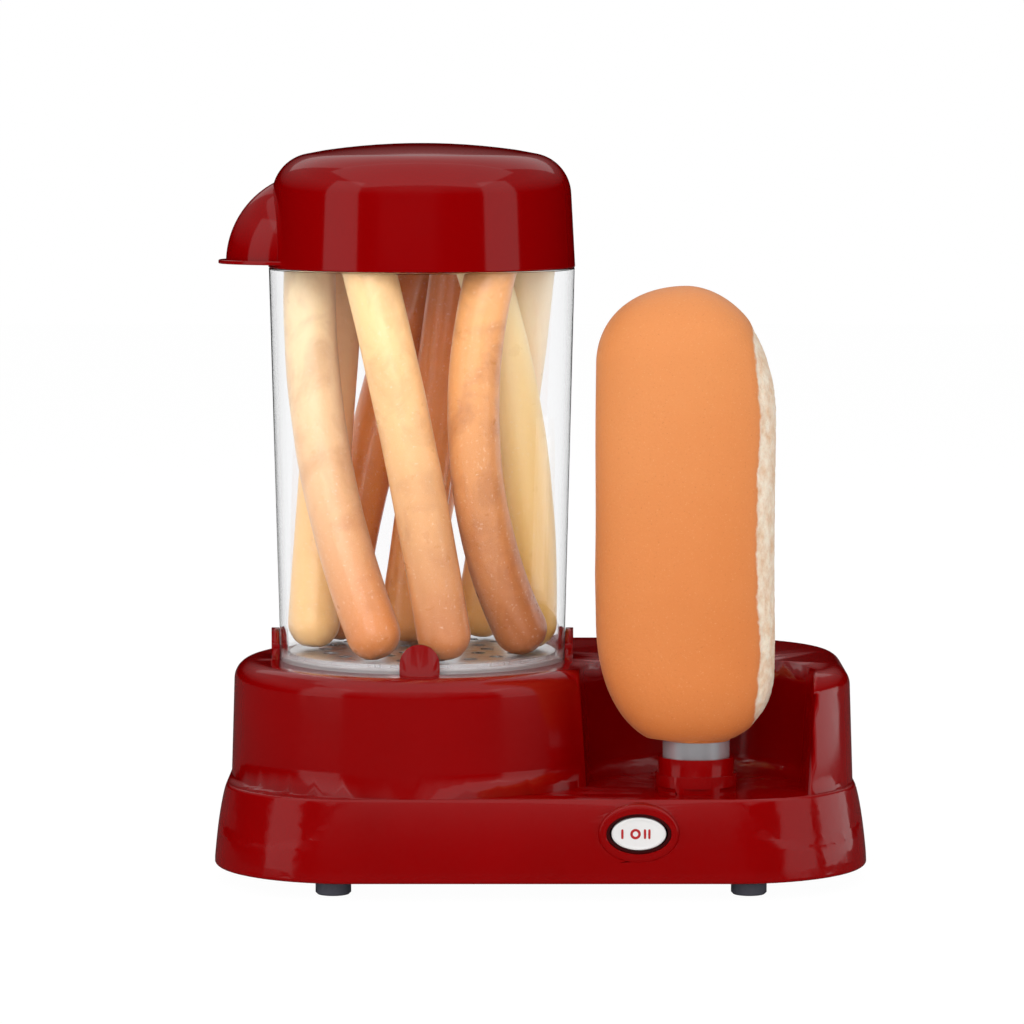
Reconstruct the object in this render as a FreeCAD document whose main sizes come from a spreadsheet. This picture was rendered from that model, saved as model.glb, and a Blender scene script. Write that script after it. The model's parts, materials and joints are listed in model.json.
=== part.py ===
import FreeCAD, Part

import math
import os
import re

import Sketcher
from FreeCAD import Rotation, Vector

# Hot dog toaster: a red moulded base with a steam cup for the sausages on its drum and a
# heated spike for the bun in a niche beside it. Millimetres, +X to the right, +Y to the rear,
# +Z up. The origin is under the middle of the base, on the plane that the feet stand on.

os.makedirs("parts", exist_ok=True)
doc = FreeCAD.newDocument("HotDogToaster")

# Driving dimensions. Each is one cell of the sheet, and the cell's alias is the name here.
SIZES = {
    # base housing
    "length": 260.0,               # over the foot of the base
    "depth": 165.0,
    "foot_height": 7.1,            # under the housing
    "plinth_height": 32.5,         # lower tier, housing bottom to platform
    "plinth_draft": 4.0,           # how much each side leans in over that height
    "plinth_corner": 56.0,
    "plinth_rounding": 1.3,        # top and bottom edges of the lower tier
    "ledge": 1.5,                  # step from the lower tier to the upper one
    "tier_height": 46.3,           # upper tier: drum, rear wall and right wing
    "tier_draft": 1.5,
    "tier_step": 0.4,              # how far the rear wall stands inside the drum's tangent
    "tier_rounding": 8.0,
    "wall": 2.6,
    "niche_radius": 46.0,          # at the top of the upper tier
    "niche_draft": 3.0,
    "niche_gap": 4.8,              # between the cup's seat and the niche
    "niche_inset": 39.5,           # axis of the niche behind the foot of the front
    "spike_inset": 32.5,
    "running": 0.05,               # radial clearance of pins and spigots in their holes
    "gap": 0.3,                    # clearance between pieces that only sit together
    "seat_gap": 0.1,               # how near a round piece lies to the flat that it rests on
    # cup seat, claws and heater
    "seat_depth": 3.0,
    "seat_clearance": 0.6,
    "claw_width": 15.7,
    "claw_height": 12.0,
    "claw_thickness": 3.0,
    "dish_opening": 46.0,          # radius of the hole in the drum's top
    "dish_depth": 14.0,
    "dish_lean": 4.7,              # how much its side leans in
    "dish_sheet": 1.2,
    "gasket_width": 3.5,
    "gasket_height": 1.5,
    "rib_width": 6.0,              # rib that the dish is screwed to
    "element_radius": 27.0,
    "element_tube": 3.2,
    "spreader_inset": 3.0,
    "spreader_thickness": 3.0,
    "thermostat_radius": 8.0,
    "thermostat_can": 5.4,         # height of its wide part
    "thermostat_cap": 6.0,         # radius of its narrow part
    "thermostat_height": 9.0,
    "fuse_radius": 2.0,
    "fuse_length": 14.0,
    "thermostat_y": 13.5,
    "stub_radius": 2.2,
    "stub_length": 10.0,
    "clamp_width": 8.0,
    "clamp_thickness": 1.5,
    "clamp_overhang": 6.4,         # past the middle of the element's tube
    "clamp_stud": 2.0,
    # spike
    "spike_radius": 13.2,
    "spike_wall": 1.5,
    "spike_rise": 145.0,           # platform to tip
    "tip_length": 9.9,             # of the cone at its end
    "tip_radius": 4.6,             # of the flat on the cone
    "collar_wall": 1.8,
    "collar_height": 13.4,
    "collar_step": 1.2,            # how much wider its lower half is
    "collar_slot": 1.6,            # height of the slots round the collar's foot
    "slot_width": 10.7,
    "slot_depth": 1.1,
    "slot_rise": 0.6,              # lower edge of the slots above the platform
    "spigot_step": 0.5,            # how much narrower the spigot is than the collar
    "spigot_drop": 4.6,            # collar spigot below the platform
    "lip_width": 2.6,
    "lip_height": 1.5,
    "flange_thickness": 2.0,
    "flange_boss_radius": 3.2,
    "cartridge_radius": 6.0,
    "cartridge_length": 96.0,
    # switch
    "switch_shift": 23.3,          # its axis left of the spike's
    "switch_rise": 19.7,           # centre above the housing's bottom
    "boss_half_width": 15.8,
    "boss_half_height": 11.8,
    "boss_inset": 0.3,             # its flat face behind the foot of the front
    "boss_root": 8.0,              # how far the bosses reach in from the wall's foot
    "rocker_half_width": 10.6,
    "rocker_half_height": 6.35,
    "rocker_thickness": 4.0,
    "rocker_clearance": 0.75,
    "frame_wall": 1.1,
    "frame_setback": 1.3,          # behind the boss's face
    "frame_length": 7.5,
    "pivot_radius": 0.9,
    "pivot_length": 0.9,
    "pivot_inset": 2.9,            # pivot axis behind the rocker's face
    "switch_width": 20.0,
    "switch_height": 8.8,
    "switch_depth": 13.0,
    "tab_width": 0.8,
    "tab_height": 4.8,
    "tab_length": 7.0,
    "tab_pitch": 6.0,
    # bottom plate, feet and screws
    "plate_thickness": 2.4,
    "foot_radius": 7.0,
    "foot_chamfer": 0.8,
    "foot_stem": 3.0,
    "foot_inset_x": 48.6,          # its axis inside the foot of the housing's ends
    "foot_inset_y": 21.7,
    "post_radius": 4.0,
    "post_inset": 11.0,            # its axis inside the upper tier's foot
    "post_angle": 45.0,            # of the posts behind and before the cup on its left
    "front_post_angle": 50.0,      # of the post between the cup and the niche
    "rear_post_run": 57.5,         # of the post behind the cup, to the right of the cup's axis
    "wing_post_run": 18.0,         # of the post in the wing, behind the niche's axis
    "screw_radius": 1.25,
    "screw_length": 12.0,          # of its thread in the post
    "screw_end": 0.4,              # free depth past a screw's end
    "hole_cover": 0.8,             # skin over a blind screw hole
    "head_radius": 3.0,
    "head_height": 1.8,
    "vent_width": 3.0,
    "vent_length": 26.0,
    "vent_pitch": 7.0,
    # cord entry and wiring
    "gland_shift": 87.5,           # its axis right of the cup's
    "gland_rise": 15.0,
    "gland_radius": 5.6,
    "gland_bore": 3.4,
    "gland_flange": 8.0,
    "gland_flange_height": 1.2,
    "gland_length": 16.0,
    "gland_pad": 11.0,
    "gland_nut_radius": 9.0,
    "gland_nut_height": 4.0,
    "block_length": 26.0,
    "block_width": 12.0,
    "block_height": 11.0,
    "block_inset": 34.5,           # its middle inside the foot of the back
    "wire_radius": 1.1,
    "wire_bend": 6.0,
    "wire_hole": 4.0,
    "wire_rise": 12.0,             # of the heater's wire over the terminal block
    "wire_spread": 9.0,            # between wires on the block
    "wire_run": 20.0,              # straight run at a terminal
    # cup
    "cup_foot_radius": 57.1,
    "cup_rim_radius": 61.2,
    "cup_height": 160.0,
    "cup_wall": 2.2,
    "cup_floor": 3.6,
    "cup_opening": 44.0,
    "cup_lip_height": 5.0,         # of the ring on its rim that centres the lid
    "cup_lip_wall": 1.6,
    "cup_lip_clearance": 0.6,      # between that ring and the lid
    # rack
    "rack_clearance": 1.5,
    "rack_thickness": 2.4,
    "rack_hole": 3.0,
    "rack_hole_pitch": 13.0,
    # lid
    "lid_radius": 61.4,
    "lid_lean": 2.3,               # how much its side leans in
    "lid_crown": 7.2,              # rise of the top over the shoulder
    "lid_height": 49.4,
    "lid_shoulder": 17.0,
    "lid_wall": 2.0,
    "beak_reach": 78.4,            # outer edge of the hood from the cup's axis
    "beak_radius": 36.5,           # of the hood seen from the side
    "beak_half_width": 25.0,
    "beak_rise": 1.4,              # foot of the hood above the lid's edge
    "beak_lip": 3.0,
    "beak_lip_height": 1.6,
    # food
    "sausage_radius": 10.8,
    "sausage_length": 172.0,
    "sausage_gap": 0.5,
    "bun_width": 72.0,
    "bun_depth": 52.0,
    "bun_height": 178.0,
    "bun_rise": 20.0,              # its lower end above the platform
    "bun_shift": 4.2,              # its middle left of the spike
    "bun_top_corner": 35.0,
    "bun_foot_corner": 27.0,
    "bun_rounding": 23.0,
    "bun_bore_clearance": 0.3,
}

sheet = doc.addObject("Spreadsheet::Sheet", "Sizes")
for row, (alias, number) in enumerate(SIZES.items(), start=1):
    sheet.set("A%d" % row, alias)
    sheet.set("B%d" % row, str(number))
    sheet.setAlias("B%d" % row, alias)
doc.recompute()

# Worked-out dimensions: properties of one object, each bound to the sheet.
derived = doc.addObject("App::VarSet", "Derived")
derived_names = set()


def linked(text):
    """The expression with each size written as a reference to its cell or property."""

    def reference(match):
        word = match.group(0)
        if word in SIZES:
            return "Sizes." + word
        if word in derived_names:
            return "Derived." + word
        return word

    return re.sub(r"[a-z_]+[a-z0-9_]*", reference, text)


def derive(name, text):
    derived.addProperty("App::PropertyFloat", name, "Derived")
    derived.setExpression(name, linked(text))
    derived_names.add(name)
    doc.recompute()


def size(name):
    """The present number of a driving or worked-out dimension."""
    if name in SIZES:
        return float(sheet.get(name))
    return float(getattr(derived, name))


derive("base_z", "foot_height")
derive("platform_z", "base_z + plinth_height")
derive("drum_z", "platform_z + tier_height")
derive("tier_inset", "plinth_draft + ledge")
derive("drum_radius", "depth / 2 - tier_inset")
derive("drum_x", "-length / 2 + tier_inset + drum_radius")
derive("tier_right", "length / 2 - tier_inset")
derive("tier_corner", "plinth_corner - ledge")
derive("niche_x", "drum_x + cup_foot_radius + seat_clearance + niche_gap + niche_radius")
derive("niche_y", "niche_inset - depth / 2")
derive("niche_foot_radius", "niche_radius - niche_draft")
derive("spike_x", "niche_x")
derive("spike_y", "spike_inset - depth / 2")
derive("cup_z", "drum_z - seat_depth")
derive("roof_z", "cup_z - wall")
derive("rim_z", "cup_z + cup_height")
derive("claw_radius", "cup_foot_radius + (cup_rim_radius - cup_foot_radius) "
       "* (claw_height + seat_depth) / cup_height + gap")
derive("flange_z", "roof_z - gasket_height")
derive("dish_floor_z", "flange_z - dish_depth")
derive("spreader_z", "dish_floor_z - dish_sheet - spreader_thickness")
derive("element_z", "spreader_z - element_tube - seat_gap")
derive("switch_x", "spike_x - switch_shift")
derive("switch_z", "base_z + switch_rise")
derive("boss_front", "depth / 2 - boss_inset")
derive("pivot_y", "-boss_front + pivot_inset")
derive("frame_half_width", "rocker_half_width + rocker_clearance + frame_wall")
derive("frame_half_height", "rocker_half_height + gap + frame_wall")
derive("frame_front_y", "-boss_front + frame_setback")
derive("frame_rear_y", "frame_front_y + frame_length")
derive("plate_top_z", "base_z + plate_thickness")
derive("foot_x", "length / 2 - foot_inset_x")
derive("foot_y", "depth / 2 - foot_inset_y")
derive("gland_x", "drum_x + gland_shift")
derive("block_y", "depth / 2 - block_inset")
derive("gland_z", "base_z + gland_rise")
derive("gland_face_y", "boss_front - gland_flange_height")
derive("collar_radius", "spike_radius + running + collar_wall")
derive("spigot_radius", "collar_radius - spigot_step")
derive("lip_z", "platform_z - spigot_drop - lip_height")
derive("spike_flange_z", "lip_z - flange_thickness")
derive("flange_screw_circle", "spike_radius + lip_width + gap + flange_boss_radius")
derive("flange_radius", "flange_screw_circle + flange_boss_radius")
derive("rack_z", "cup_z + cup_floor + gap")
derive("food_z", "rack_z + rack_thickness + gap")
derive("lid_z", "rim_z + gap")
derive("crown_radius", "(lid_radius ^ 2 + lid_crown ^ 2) / (2 * lid_crown)")
derive("bun_x", "spike_x - bun_shift")
derive("bun_z", "platform_z + bun_rise")
derive("tip_z", "platform_z + spike_rise")
derive("dish_foot_radius", "dish_opening - dish_lean")
derive("dish_screw_radius", "dish_opening + gasket_width + gap + rib_width / 2")
derive("dish_flange_radius", "dish_screw_radius + rib_width / 2")
derive("post_circle", "drum_radius - post_inset")
derive("rack_radius", "cup_foot_radius - cup_wall - rack_clearance")
derive("cup_lip_radius", "lid_radius - lid_wall - cup_lip_clearance")
derive("cup_lip_bore", "cup_lip_radius - cup_lip_wall")
derive("beak_x", "drum_x - beak_reach + beak_radius")
derive("beak_z", "lid_z + beak_rise")


# ---------------------------------------------------------------- building helpers

def bind(feature, **expressions):
    """Bind properties to expressions; two underscores stand for a dot in a property's name."""
    for name, text in expressions.items():
        feature.setExpression(name.replace("__", "."), linked(text))
    return feature


def place(feature, x="0", y="0", z="0", turn=None):
    """Put a feature's origin at an expression for each axis, after an optional fixed turn."""
    if turn is not None:
        feature.Placement = FreeCAD.Placement(Vector(), turn)
    for axis, text in (("x", x), ("y", y), ("z", z)):
        feature.setExpression("Placement.Base." + axis, linked(text))
    return feature


ALONG_X = Rotation(Vector(0, 1, 0), 90)
ALONG_Y = Rotation(Vector(1, 0, 0), -90)


def cylinder(name, radius, height, x="0", y="0", z="0", turn=None):
    body = doc.addObject("Part::Cylinder", name)
    bind(body, Radius=radius, Height=height)
    return place(body, x, y, z, turn)


def cone(name, low_radius, high_radius, height, x="0", y="0", z="0"):
    body = doc.addObject("Part::Cone", name)
    bind(body, Radius1=low_radius, Radius2=high_radius, Height=height)
    return place(body, x, y, z)


def box(name, low, high):
    """A box between two corners, each a triple of expressions."""
    body = doc.addObject("Part::Box", name)
    lengths = ["(%s) - (%s)" % (top, bottom) for bottom, top in zip(low, high)]
    bind(body, Length=lengths[0], Width=lengths[1], Height=lengths[2])
    return place(body, *low)


def torus(name, ring_radius, tube_radius, x="0", y="0", z="0"):
    body = doc.addObject("Part::Torus", name)
    bind(body, Radius1=ring_radius, Radius2=tube_radius)
    return place(body, x, y, z)


def cut(name, base, tool):
    result = doc.addObject("Part::Cut", name)
    result.Base = base
    result.Tool = tool
    return result


def fuse(name, *pieces):
    result = doc.addObject("Part::MultiFuse", name)
    result.Shapes = list(pieces)
    result.Refine = True
    return result


def group(name, *pieces):
    """Separate solids kept side by side in one node."""
    result = doc.addObject("Part::Compound", name)
    result.Links = list(pieces)
    return result


def common(name, *pieces):
    result = doc.addObject("Part::MultiCommon", name)
    result.Shapes = list(pieces)
    return result


def ellipse_prism(name, half_width, half_height, length, x, y, z):
    """An elliptic bar along +Y from the plane y, wide along X and high along Z."""
    curve = doc.addObject("Part::Ellipse", name + "_outline")
    bind(curve, MajorRadius=half_width, MinorRadius=half_height)
    place(curve, x, y, z, Rotation(Vector(1, 0, 0), 90))
    bar = doc.addObject("Part::Extrusion", name)
    bar.Base = curve
    bar.DirMode = "Custom"
    bar.Dir = Vector(0, 1, 0)
    bar.Solid = True
    bind(bar, LengthFwd=length)
    return bar


def ring_of(count, maker, radius_of, start=0.0, x="0", y="0"):
    """Make `count` pieces on a circle; maker gets an index and expressions for x and y."""
    pieces = []
    for index in range(count):
        angle = start + 360.0 * index / count
        place_x = "%s + (%s) * cos(%g)" % (x, radius_of, angle)
        place_y = "%s + (%s) * sin(%g)" % (y, radius_of, angle)
        pieces.append(maker(index, place_x, place_y))
    return pieces


def origin_plane(body, role):
    return [item for item in body.Origin.OriginFeatures if item.Role == role][0]


START_RADIUS = 50.0                # of the circle that a sketch's corners start on, before they are bound


def polygon_sketch(body, name, role, corners):
    """A closed polygon whose corners are bound to (across, up) expressions."""
    sketch = body.newObject("Sketcher::SketchObject", name)
    sketch.AttachmentSupport = [(origin_plane(body, role), "")]
    sketch.MapMode = "FlatFace"
    count = len(corners)
    turn = 2 * math.pi / count
    first = [Vector(START_RADIUS * math.cos(turn * i), START_RADIUS * math.sin(turn * i), 0)
             for i in range(count)]
    for i in range(count):
        sketch.addGeometry(Part.LineSegment(first[i], first[(i + 1) % count]), False)
    for i in range(count):
        sketch.addConstraint(Sketcher.Constraint("Coincident", i, 2, (i + 1) % count, 1))
    for i, (across, up) in enumerate(corners):
        pin_coordinate(sketch, i, "DistanceX", -2, across)
        pin_coordinate(sketch, i, "DistanceY", -1, up)
    doc.recompute()
    return sketch


def pin_coordinate(sketch, line, kind, axis, text):
    """Hold the start of a line on an axis, or at an expression's distance from the origin."""
    if text == "0":
        sketch.addConstraint(Sketcher.Constraint("PointOnObject", line, 1, axis))
        return
    number = sketch.addConstraint(Sketcher.Constraint(kind, -1, 1, line, 1, 10.0))
    sketch.setExpression("Constraints[%d]" % number, linked(text))


def revolved(name, corners, x="0", y="0", z="0"):
    """A body turned about its own Z axis from (radius, height) corners."""
    body = doc.addObject("PartDesign::Body", name)
    sketch = polygon_sketch(body, name + "_profile", "XZ_Plane", corners)
    turned = body.newObject("PartDesign::Revolution", name + "_turned")
    turned.Profile = sketch
    turned.ReferenceAxis = (sketch, ["V_Axis"])
    turned.Angle = 360
    doc.recompute()
    return place(body, x, y, z)


def padded(name, corners, height, z="0", draft="0"):
    """A body raised along +Z from (x, y) corners, each side leaning in by the draft."""
    body = doc.addObject("PartDesign::Body", name)
    sketch = polygon_sketch(body, name + "_plan", "XY_Plane", corners)
    pad = body.newObject("PartDesign::Pad", name + "_pad")
    pad.Profile = sketch
    bind(pad, Length=height, TaperAngle="-atan((%s) / (%s))" % (draft, height))
    doc.recompute()
    return place(body, "0", "0", z)


def round_edges(body, radius, test):
    """Fillet, in the body's own frame, each edge that the test picks by its middle and box."""
    tip = body.Tip
    names = []
    for number, edge in enumerate(tip.Shape.Edges, start=1):
        middle = edge.valueAt((edge.FirstParameter + edge.LastParameter) / 2)
        if test(edge, middle):
            names.append("Edge%d" % number)
    fillet = body.newObject("PartDesign::Fillet", body.Name + "_round%d" % len(body.Group))
    fillet.Base = (tip, names)
    bind(fillet, Radius=radius)
    doc.recompute()
    return body


def is_upright(edge):
    box_of = edge.BoundBox
    return box_of.ZLength > 0.8 * edge.Length


def top_of(body):
    """The height of the highest corner, which a loose bounding box can overstate."""
    return max(vertex.Point.z for vertex in body.Tip.Shape.Vertexes)


def is_level_at(edge, height):
    box_of = edge.BoundBox
    return abs(box_of.ZMin - height) < 0.01 and abs(box_of.ZMax - height) < 0.01


nodes = []


def finished(feature, label):
    """Name a sub-part and keep it for export."""
    feature.Label = label
    nodes.append(feature)
    return feature


# ---------------------------------------------------------------- base housing

def tier_plan(left, right, half_depth):
    front = "-(%s)" % half_depth
    return [(left, front), (right, front), (right, half_depth), (left, half_depth)]


def plinth_solid(name, inset, bottom, top, rounding):
    """The lower tier as a leaning block with round corners, set in by `inset` all round."""
    half_length = "length / 2 - (%s)" % inset
    half_depth = "depth / 2 - (%s)" % inset
    height = "(%s) - (%s)" % (top, bottom)
    draft = "plinth_draft * (%s) / plinth_height" % height
    body = padded(name, tier_plan("-(%s)" % half_length, half_length, half_depth), height, bottom, draft)
    round_edges(body, "plinth_corner - (%s)" % inset, lambda edge, middle: is_upright(edge))
    if rounding:
        high = top_of(body)
        round_edges(body, rounding,
                    lambda edge, middle: is_level_at(edge, 0.0) or is_level_at(edge, high))
    return body


def drum_solid(name, inset, root, top, rounding):
    """The round part of the upper tier, from `root` below the platform up."""
    low_radius = "drum_radius - (%s) + tier_draft * (%s) / tier_height" % (inset, root)
    high_radius = "drum_radius - (%s) - tier_draft * ((%s) - platform_z) / tier_height" % (inset, top)
    corners = [("0", "platform_z - (%s)" % root), (low_radius, "platform_z - (%s)" % root),
               (high_radius, top), ("0", top)]
    body = revolved(name, corners, "drum_x")
    high = top_of(body)
    return round_edges(body, rounding, lambda edge, middle: is_level_at(edge, high))


def block_solid(name, inset, root, top, rounding):
    """The rear wall and right wing before the niche: a block from the drum's axis to the right."""
    spread = "(%s) - tier_draft * (%s) / tier_height" % (inset, root)
    height = "(%s) - platform_z + (%s)" % (top, root)
    plan = tier_plan("drum_x", "tier_right - (%s)" % spread, "drum_radius - tier_step - (%s)" % spread)
    body = padded(name, plan, height, "platform_z - (%s)" % root,
                  "tier_draft * (%s) / tier_height" % height)
    middle_x = size("drum_x") + size("wall")
    round_edges(body, "tier_corner - (%s)" % inset,
                lambda edge, middle: is_upright(edge) and middle.x > middle_x)
    high = top_of(body)
    round_edges(body, rounding, lambda edge, middle: is_level_at(edge, high) and middle.x > middle_x)
    # the part in front of the niche's axis and left of it is left to the drum
    front = box(name + "_front",
                ("drum_x - length", "-depth", "base_z"), ("niche_x", "niche_y", "drum_z + wall"))
    return cut(name + "_trimmed", body, front)


def niche_solid(name, offset, floor):
    """The niche as a tool: a leaning half round at the back, open to the front and the top."""
    low_radius = "niche_foot_radius + (%s)" % offset
    high_radius = "niche_radius + (%s)" % offset
    floor_z = "platform_z - (%s)" % floor
    rise = "tier_height + (%s)" % floor
    back = cone(name + "_back", low_radius, high_radius, rise, "niche_x", "niche_y", floor_z)
    body = doc.addObject("PartDesign::Body", name + "_mouth")
    corners = [("-(%s)" % low_radius, "0"), (low_radius, "0"),
               (high_radius, rise), ("-(%s)" % high_radius, rise)]
    sketch = polygon_sketch(body, name + "_mouth_profile", "XZ_Plane", corners)
    pad = body.newObject("PartDesign::Pad", name + "_mouth_pad")
    pad.Profile = sketch
    bind(pad, Length="depth")
    doc.recompute()
    place(body, "niche_x", "niche_y", floor_z)
    return fuse(name, back, body)


def claw_bar(axis):
    """A round-topped bar across the cup's seat, whose two ends become claws."""
    reach = "claw_radius + 2 * claw_thickness"
    middle_z = "drum_z + claw_height - claw_width / 2"
    if axis == "x":
        half_x, half_y, turn = reach, "claw_width / 2", ALONG_X
        start = ("drum_x - (%s)" % reach, "0")
    else:
        half_x, half_y, turn = "claw_width / 2", reach, ALONG_Y
        start = ("drum_x", "-(%s)" % reach)
    stem = box("claw_stem_" + axis, ("drum_x - (%s)" % half_x, "-(%s)" % half_y, "drum_z - wall"),
               ("drum_x + (%s)" % half_x, half_y, middle_z))
    top = cylinder("claw_top_" + axis, "claw_width / 2", "2 * (%s)" % reach, start[0], start[1],
                   middle_z, turn)
    return [stem, top]


def claw_ring():
    """Four round-topped claws round the cup's foot, cut from one ring."""
    outer = cylinder("claw_outer", "claw_radius + claw_thickness", "claw_height + wall",
                     "drum_x", "0", "drum_z - wall")
    inner = cylinder("claw_inner", "claw_radius", "claw_height + 3 * wall",
                     "drum_x", "0", "drum_z - 2 * wall")
    ring = cut("claw_ring", outer, inner)
    return common("claws", ring, fuse("claw_bars", *claw_bar("x"), *claw_bar("y")))


# Screw posts: (x, y) of each, beside the walls and clear of the dish, niche and spike.
POSTS = [
    ("drum_x - post_circle * cos(post_angle)", "post_circle * sin(post_angle)"),
    ("drum_x - post_circle * cos(post_angle)", "-post_circle * sin(post_angle)"),
    ("drum_x + post_circle * cos(front_post_angle)", "-post_circle * sin(front_post_angle)"),
    ("drum_x + rear_post_run", "post_circle"),
    ("tier_right - tier_corner + (tier_corner - post_inset) * cos(post_angle)",
     "drum_radius - tier_corner + (tier_corner - post_inset) * sin(post_angle)"),
    ("tier_right - (tier_right - niche_x - niche_radius) / 2 - tier_draft / 2", "niche_y + wing_post_run"),
]


def dish_screw_ring(maker):
    """Four pieces on the circle of the dish's screws."""
    return ring_of(4, maker, "dish_screw_radius", 45, "drum_x")


def flange_screw_ring(maker):
    """Three pieces on the circle of the spike's screws."""
    return ring_of(3, maker, "flange_screw_circle", 30, "spike_x", "spike_y")


def base_housing():
    plinth = plinth_solid("plinth", "0", "base_z", "platform_z", "plinth_rounding")
    drum = drum_solid("drum", "0", "wall / 2", "drum_z", "tier_rounding")
    block = block_solid("block", "0", "wall / 2", "drum_z", "tier_rounding")
    boss = ellipse_prism("switch_boss", "boss_half_width", "boss_half_height",
                         "boss_root - boss_inset", "switch_x", "-boss_front", "switch_z")
    pad = cylinder("gland_boss", "gland_pad", "boss_root", "gland_x", "gland_face_y - boss_root",
                   "gland_z", ALONG_Y)
    upper = cut("upper_tier", fuse("upper_whole", drum, block), niche_solid("niche", "0", "wall"))
    outside = fuse("housing_outside", plinth, upper, boss, pad)

    hollow_plinth = plinth_solid("plinth_hollow", "wall", "base_z - wall", "platform_z - wall", None)
    hollow_drum = drum_solid("drum_hollow", "wall", "2 * wall", "roof_z", "tier_rounding - wall")
    hollow_block = block_solid("block_hollow", "wall", "2 * wall", "drum_z - wall", "tier_rounding - wall")
    roof = cylinder("seat_roof", "cup_foot_radius + seat_clearance + wall", "drum_z - roof_z",
                    "drum_x", "0", "roof_z")
    hollow_block = cut("block_hollow_under_roof", hollow_block, roof)
    hollow = fuse("upper_hollow", hollow_drum, hollow_block, hollow_plinth)
    kept = niche_solid("niche_shell", "wall", "wall")
    hollow = cut("housing_hollow", hollow, kept)
    shell = cut("housing_shell", outside, hollow)

    posts = []
    holes = []
    for index, (x, y) in enumerate(POSTS):
        posts.append(cylinder("post_%d" % index, "post_radius", "drum_z - wall / 2 - plate_top_z - gap",
                              x, y, "plate_top_z + gap"))
        holes.append(cylinder("post_hole_%d" % index, "screw_radius", "screw_length", x, y, "plate_top_z"))
    rib_out = cylinder("rib_out", "dish_opening + gasket_width + gap + rib_width", "gasket_height + wall / 2",
                       "drum_x", "0", "flange_z")
    rib_in = cylinder("rib_in", "dish_opening + gasket_width + gap", "gasket_height",
                      "drum_x", "0", "flange_z")
    rib = cut("dish_rib", rib_out, rib_in)
    bosses = flange_screw_ring(lambda i, x, y: cylinder("flange_boss_%d" % i, "flange_boss_radius",
                                                        "spigot_drop + lip_height - wall / 2",
                                                        x, y, "lip_z"))
    solid = fuse("housing_solid", shell, claw_ring(), rib, *posts, *bosses)

    tools = holes
    tools.append(cylinder("cup_seat", "cup_foot_radius + seat_clearance", "seat_depth + claw_height",
                          "drum_x", "0", "cup_z"))
    tools.append(cylinder("dish_mouth", "dish_opening", "2 * wall", "drum_x", "0", "roof_z - wall / 2"))
    tools += dish_screw_ring(lambda i, x, y: cylinder("dish_hole_%d" % i, "screw_radius",
                                                      "gasket_height + wall - hole_cover",
                                                      x, y, "flange_z"))
    tools += flange_screw_ring(lambda i, x, y: cylinder("flange_hole_%d" % i, "screw_radius",
                                                        "spigot_drop + lip_height - hole_cover",
                                                        x, y, "lip_z"))
    tools.append(ellipse_prism("switch_hole", "frame_half_width + gap / 2", "frame_half_height + gap / 2",
                               "depth / 2 + boss_root", "switch_x", "-depth", "switch_z"))
    tools.append(cylinder("gland_hole", "gland_radius + running", "2 * gland_length",
                          "gland_x", "gland_face_y - gland_length", "gland_z", ALONG_Y))
    tools.append(cylinder("gland_recess", "gland_flange + gap", "gland_length",
                          "gland_x", "gland_face_y", "gland_z", ALONG_Y))
    tools.append(cylinder("spigot_hole", "spigot_radius + running", "3 * wall",
                          "spike_x", "spike_y", "platform_z - 2 * wall"))
    housing = cut("housing_cut", solid, fuse("housing_tools", *tools))
    finished(housing, "base_housing")


# ---------------------------------------------------------------- underside

CUP_VENT_COUNT = 7
SPIKE_VENT_COUNT = 3


def bottom_plate():
    inset = "wall + gap + plinth_draft * (wall + plate_thickness) / plinth_height"
    half_length = "length / 2 - (%s)" % inset
    half_depth = "depth / 2 - (%s)" % inset
    plate = padded("plate", tier_plan("-(%s)" % half_length, half_length, half_depth),
                   "plate_thickness", "base_z")
    round_edges(plate, "plinth_corner - (%s)" % inset, lambda edge, middle: is_upright(edge))
    tools = []
    for index, (x, y) in enumerate(POSTS):
        tools.append(cylinder("plate_hole_%d" % index, "screw_radius + gap",
                              "3 * plate_thickness", x, y, "base_z - plate_thickness"))
    for index, (x, y) in enumerate(foot_places()):
        tools.append(cylinder("stem_hole_%d" % index, "foot_stem + running",
                              "3 * plate_thickness", x, y, "base_z - plate_thickness"))
    for count, middle, name in ((CUP_VENT_COUNT, "drum_x", "cup"), (SPIKE_VENT_COUNT, "spike_x", "spike")):
        for index in range(count):
            x = "%s + vent_pitch * %g" % (middle, index - (count - 1) / 2)
            tools.append(box("vent_%s_%d" % (name, index),
                             (x + " - vent_width / 2", "-vent_length / 2", "base_z - plate_thickness"),
                             (x + " + vent_width / 2", "vent_length / 2", "plate_top_z + plate_thickness")))
    finished(cut("plate_cut", plate, fuse("plate_tools", *tools)), "bottom_plate")


def foot_places():
    return [("-foot_x", "-foot_y"), ("foot_x", "-foot_y"), ("-foot_x", "foot_y"), ("foot_x", "foot_y")]


def feet():
    labels = ["foot_front_left", "foot_front_right", "foot_rear_left", "foot_rear_right"]
    for label, (x, y) in zip(labels, foot_places()):
        corners = [("0", "0"), ("foot_radius - foot_chamfer", "0"), ("foot_radius", "foot_chamfer"),
                   ("foot_radius", "base_z"), ("foot_stem", "base_z"), ("foot_stem", "plate_top_z"),
                   ("0", "plate_top_z")]
        finished(revolved(label + "_body", corners, x, y), label)


def screw(name, x, y, head_z, grip):
    """A screw pointing up: its head from head_z, its shank `grip` long above the head."""
    head = cylinder(name + "_head", "head_radius", "head_height", x, y, head_z)
    shank = cylinder(name + "_shank", "screw_radius - running", "head_height + (%s)" % grip, x, y, head_z)
    return fuse(name, head, shank)


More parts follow.
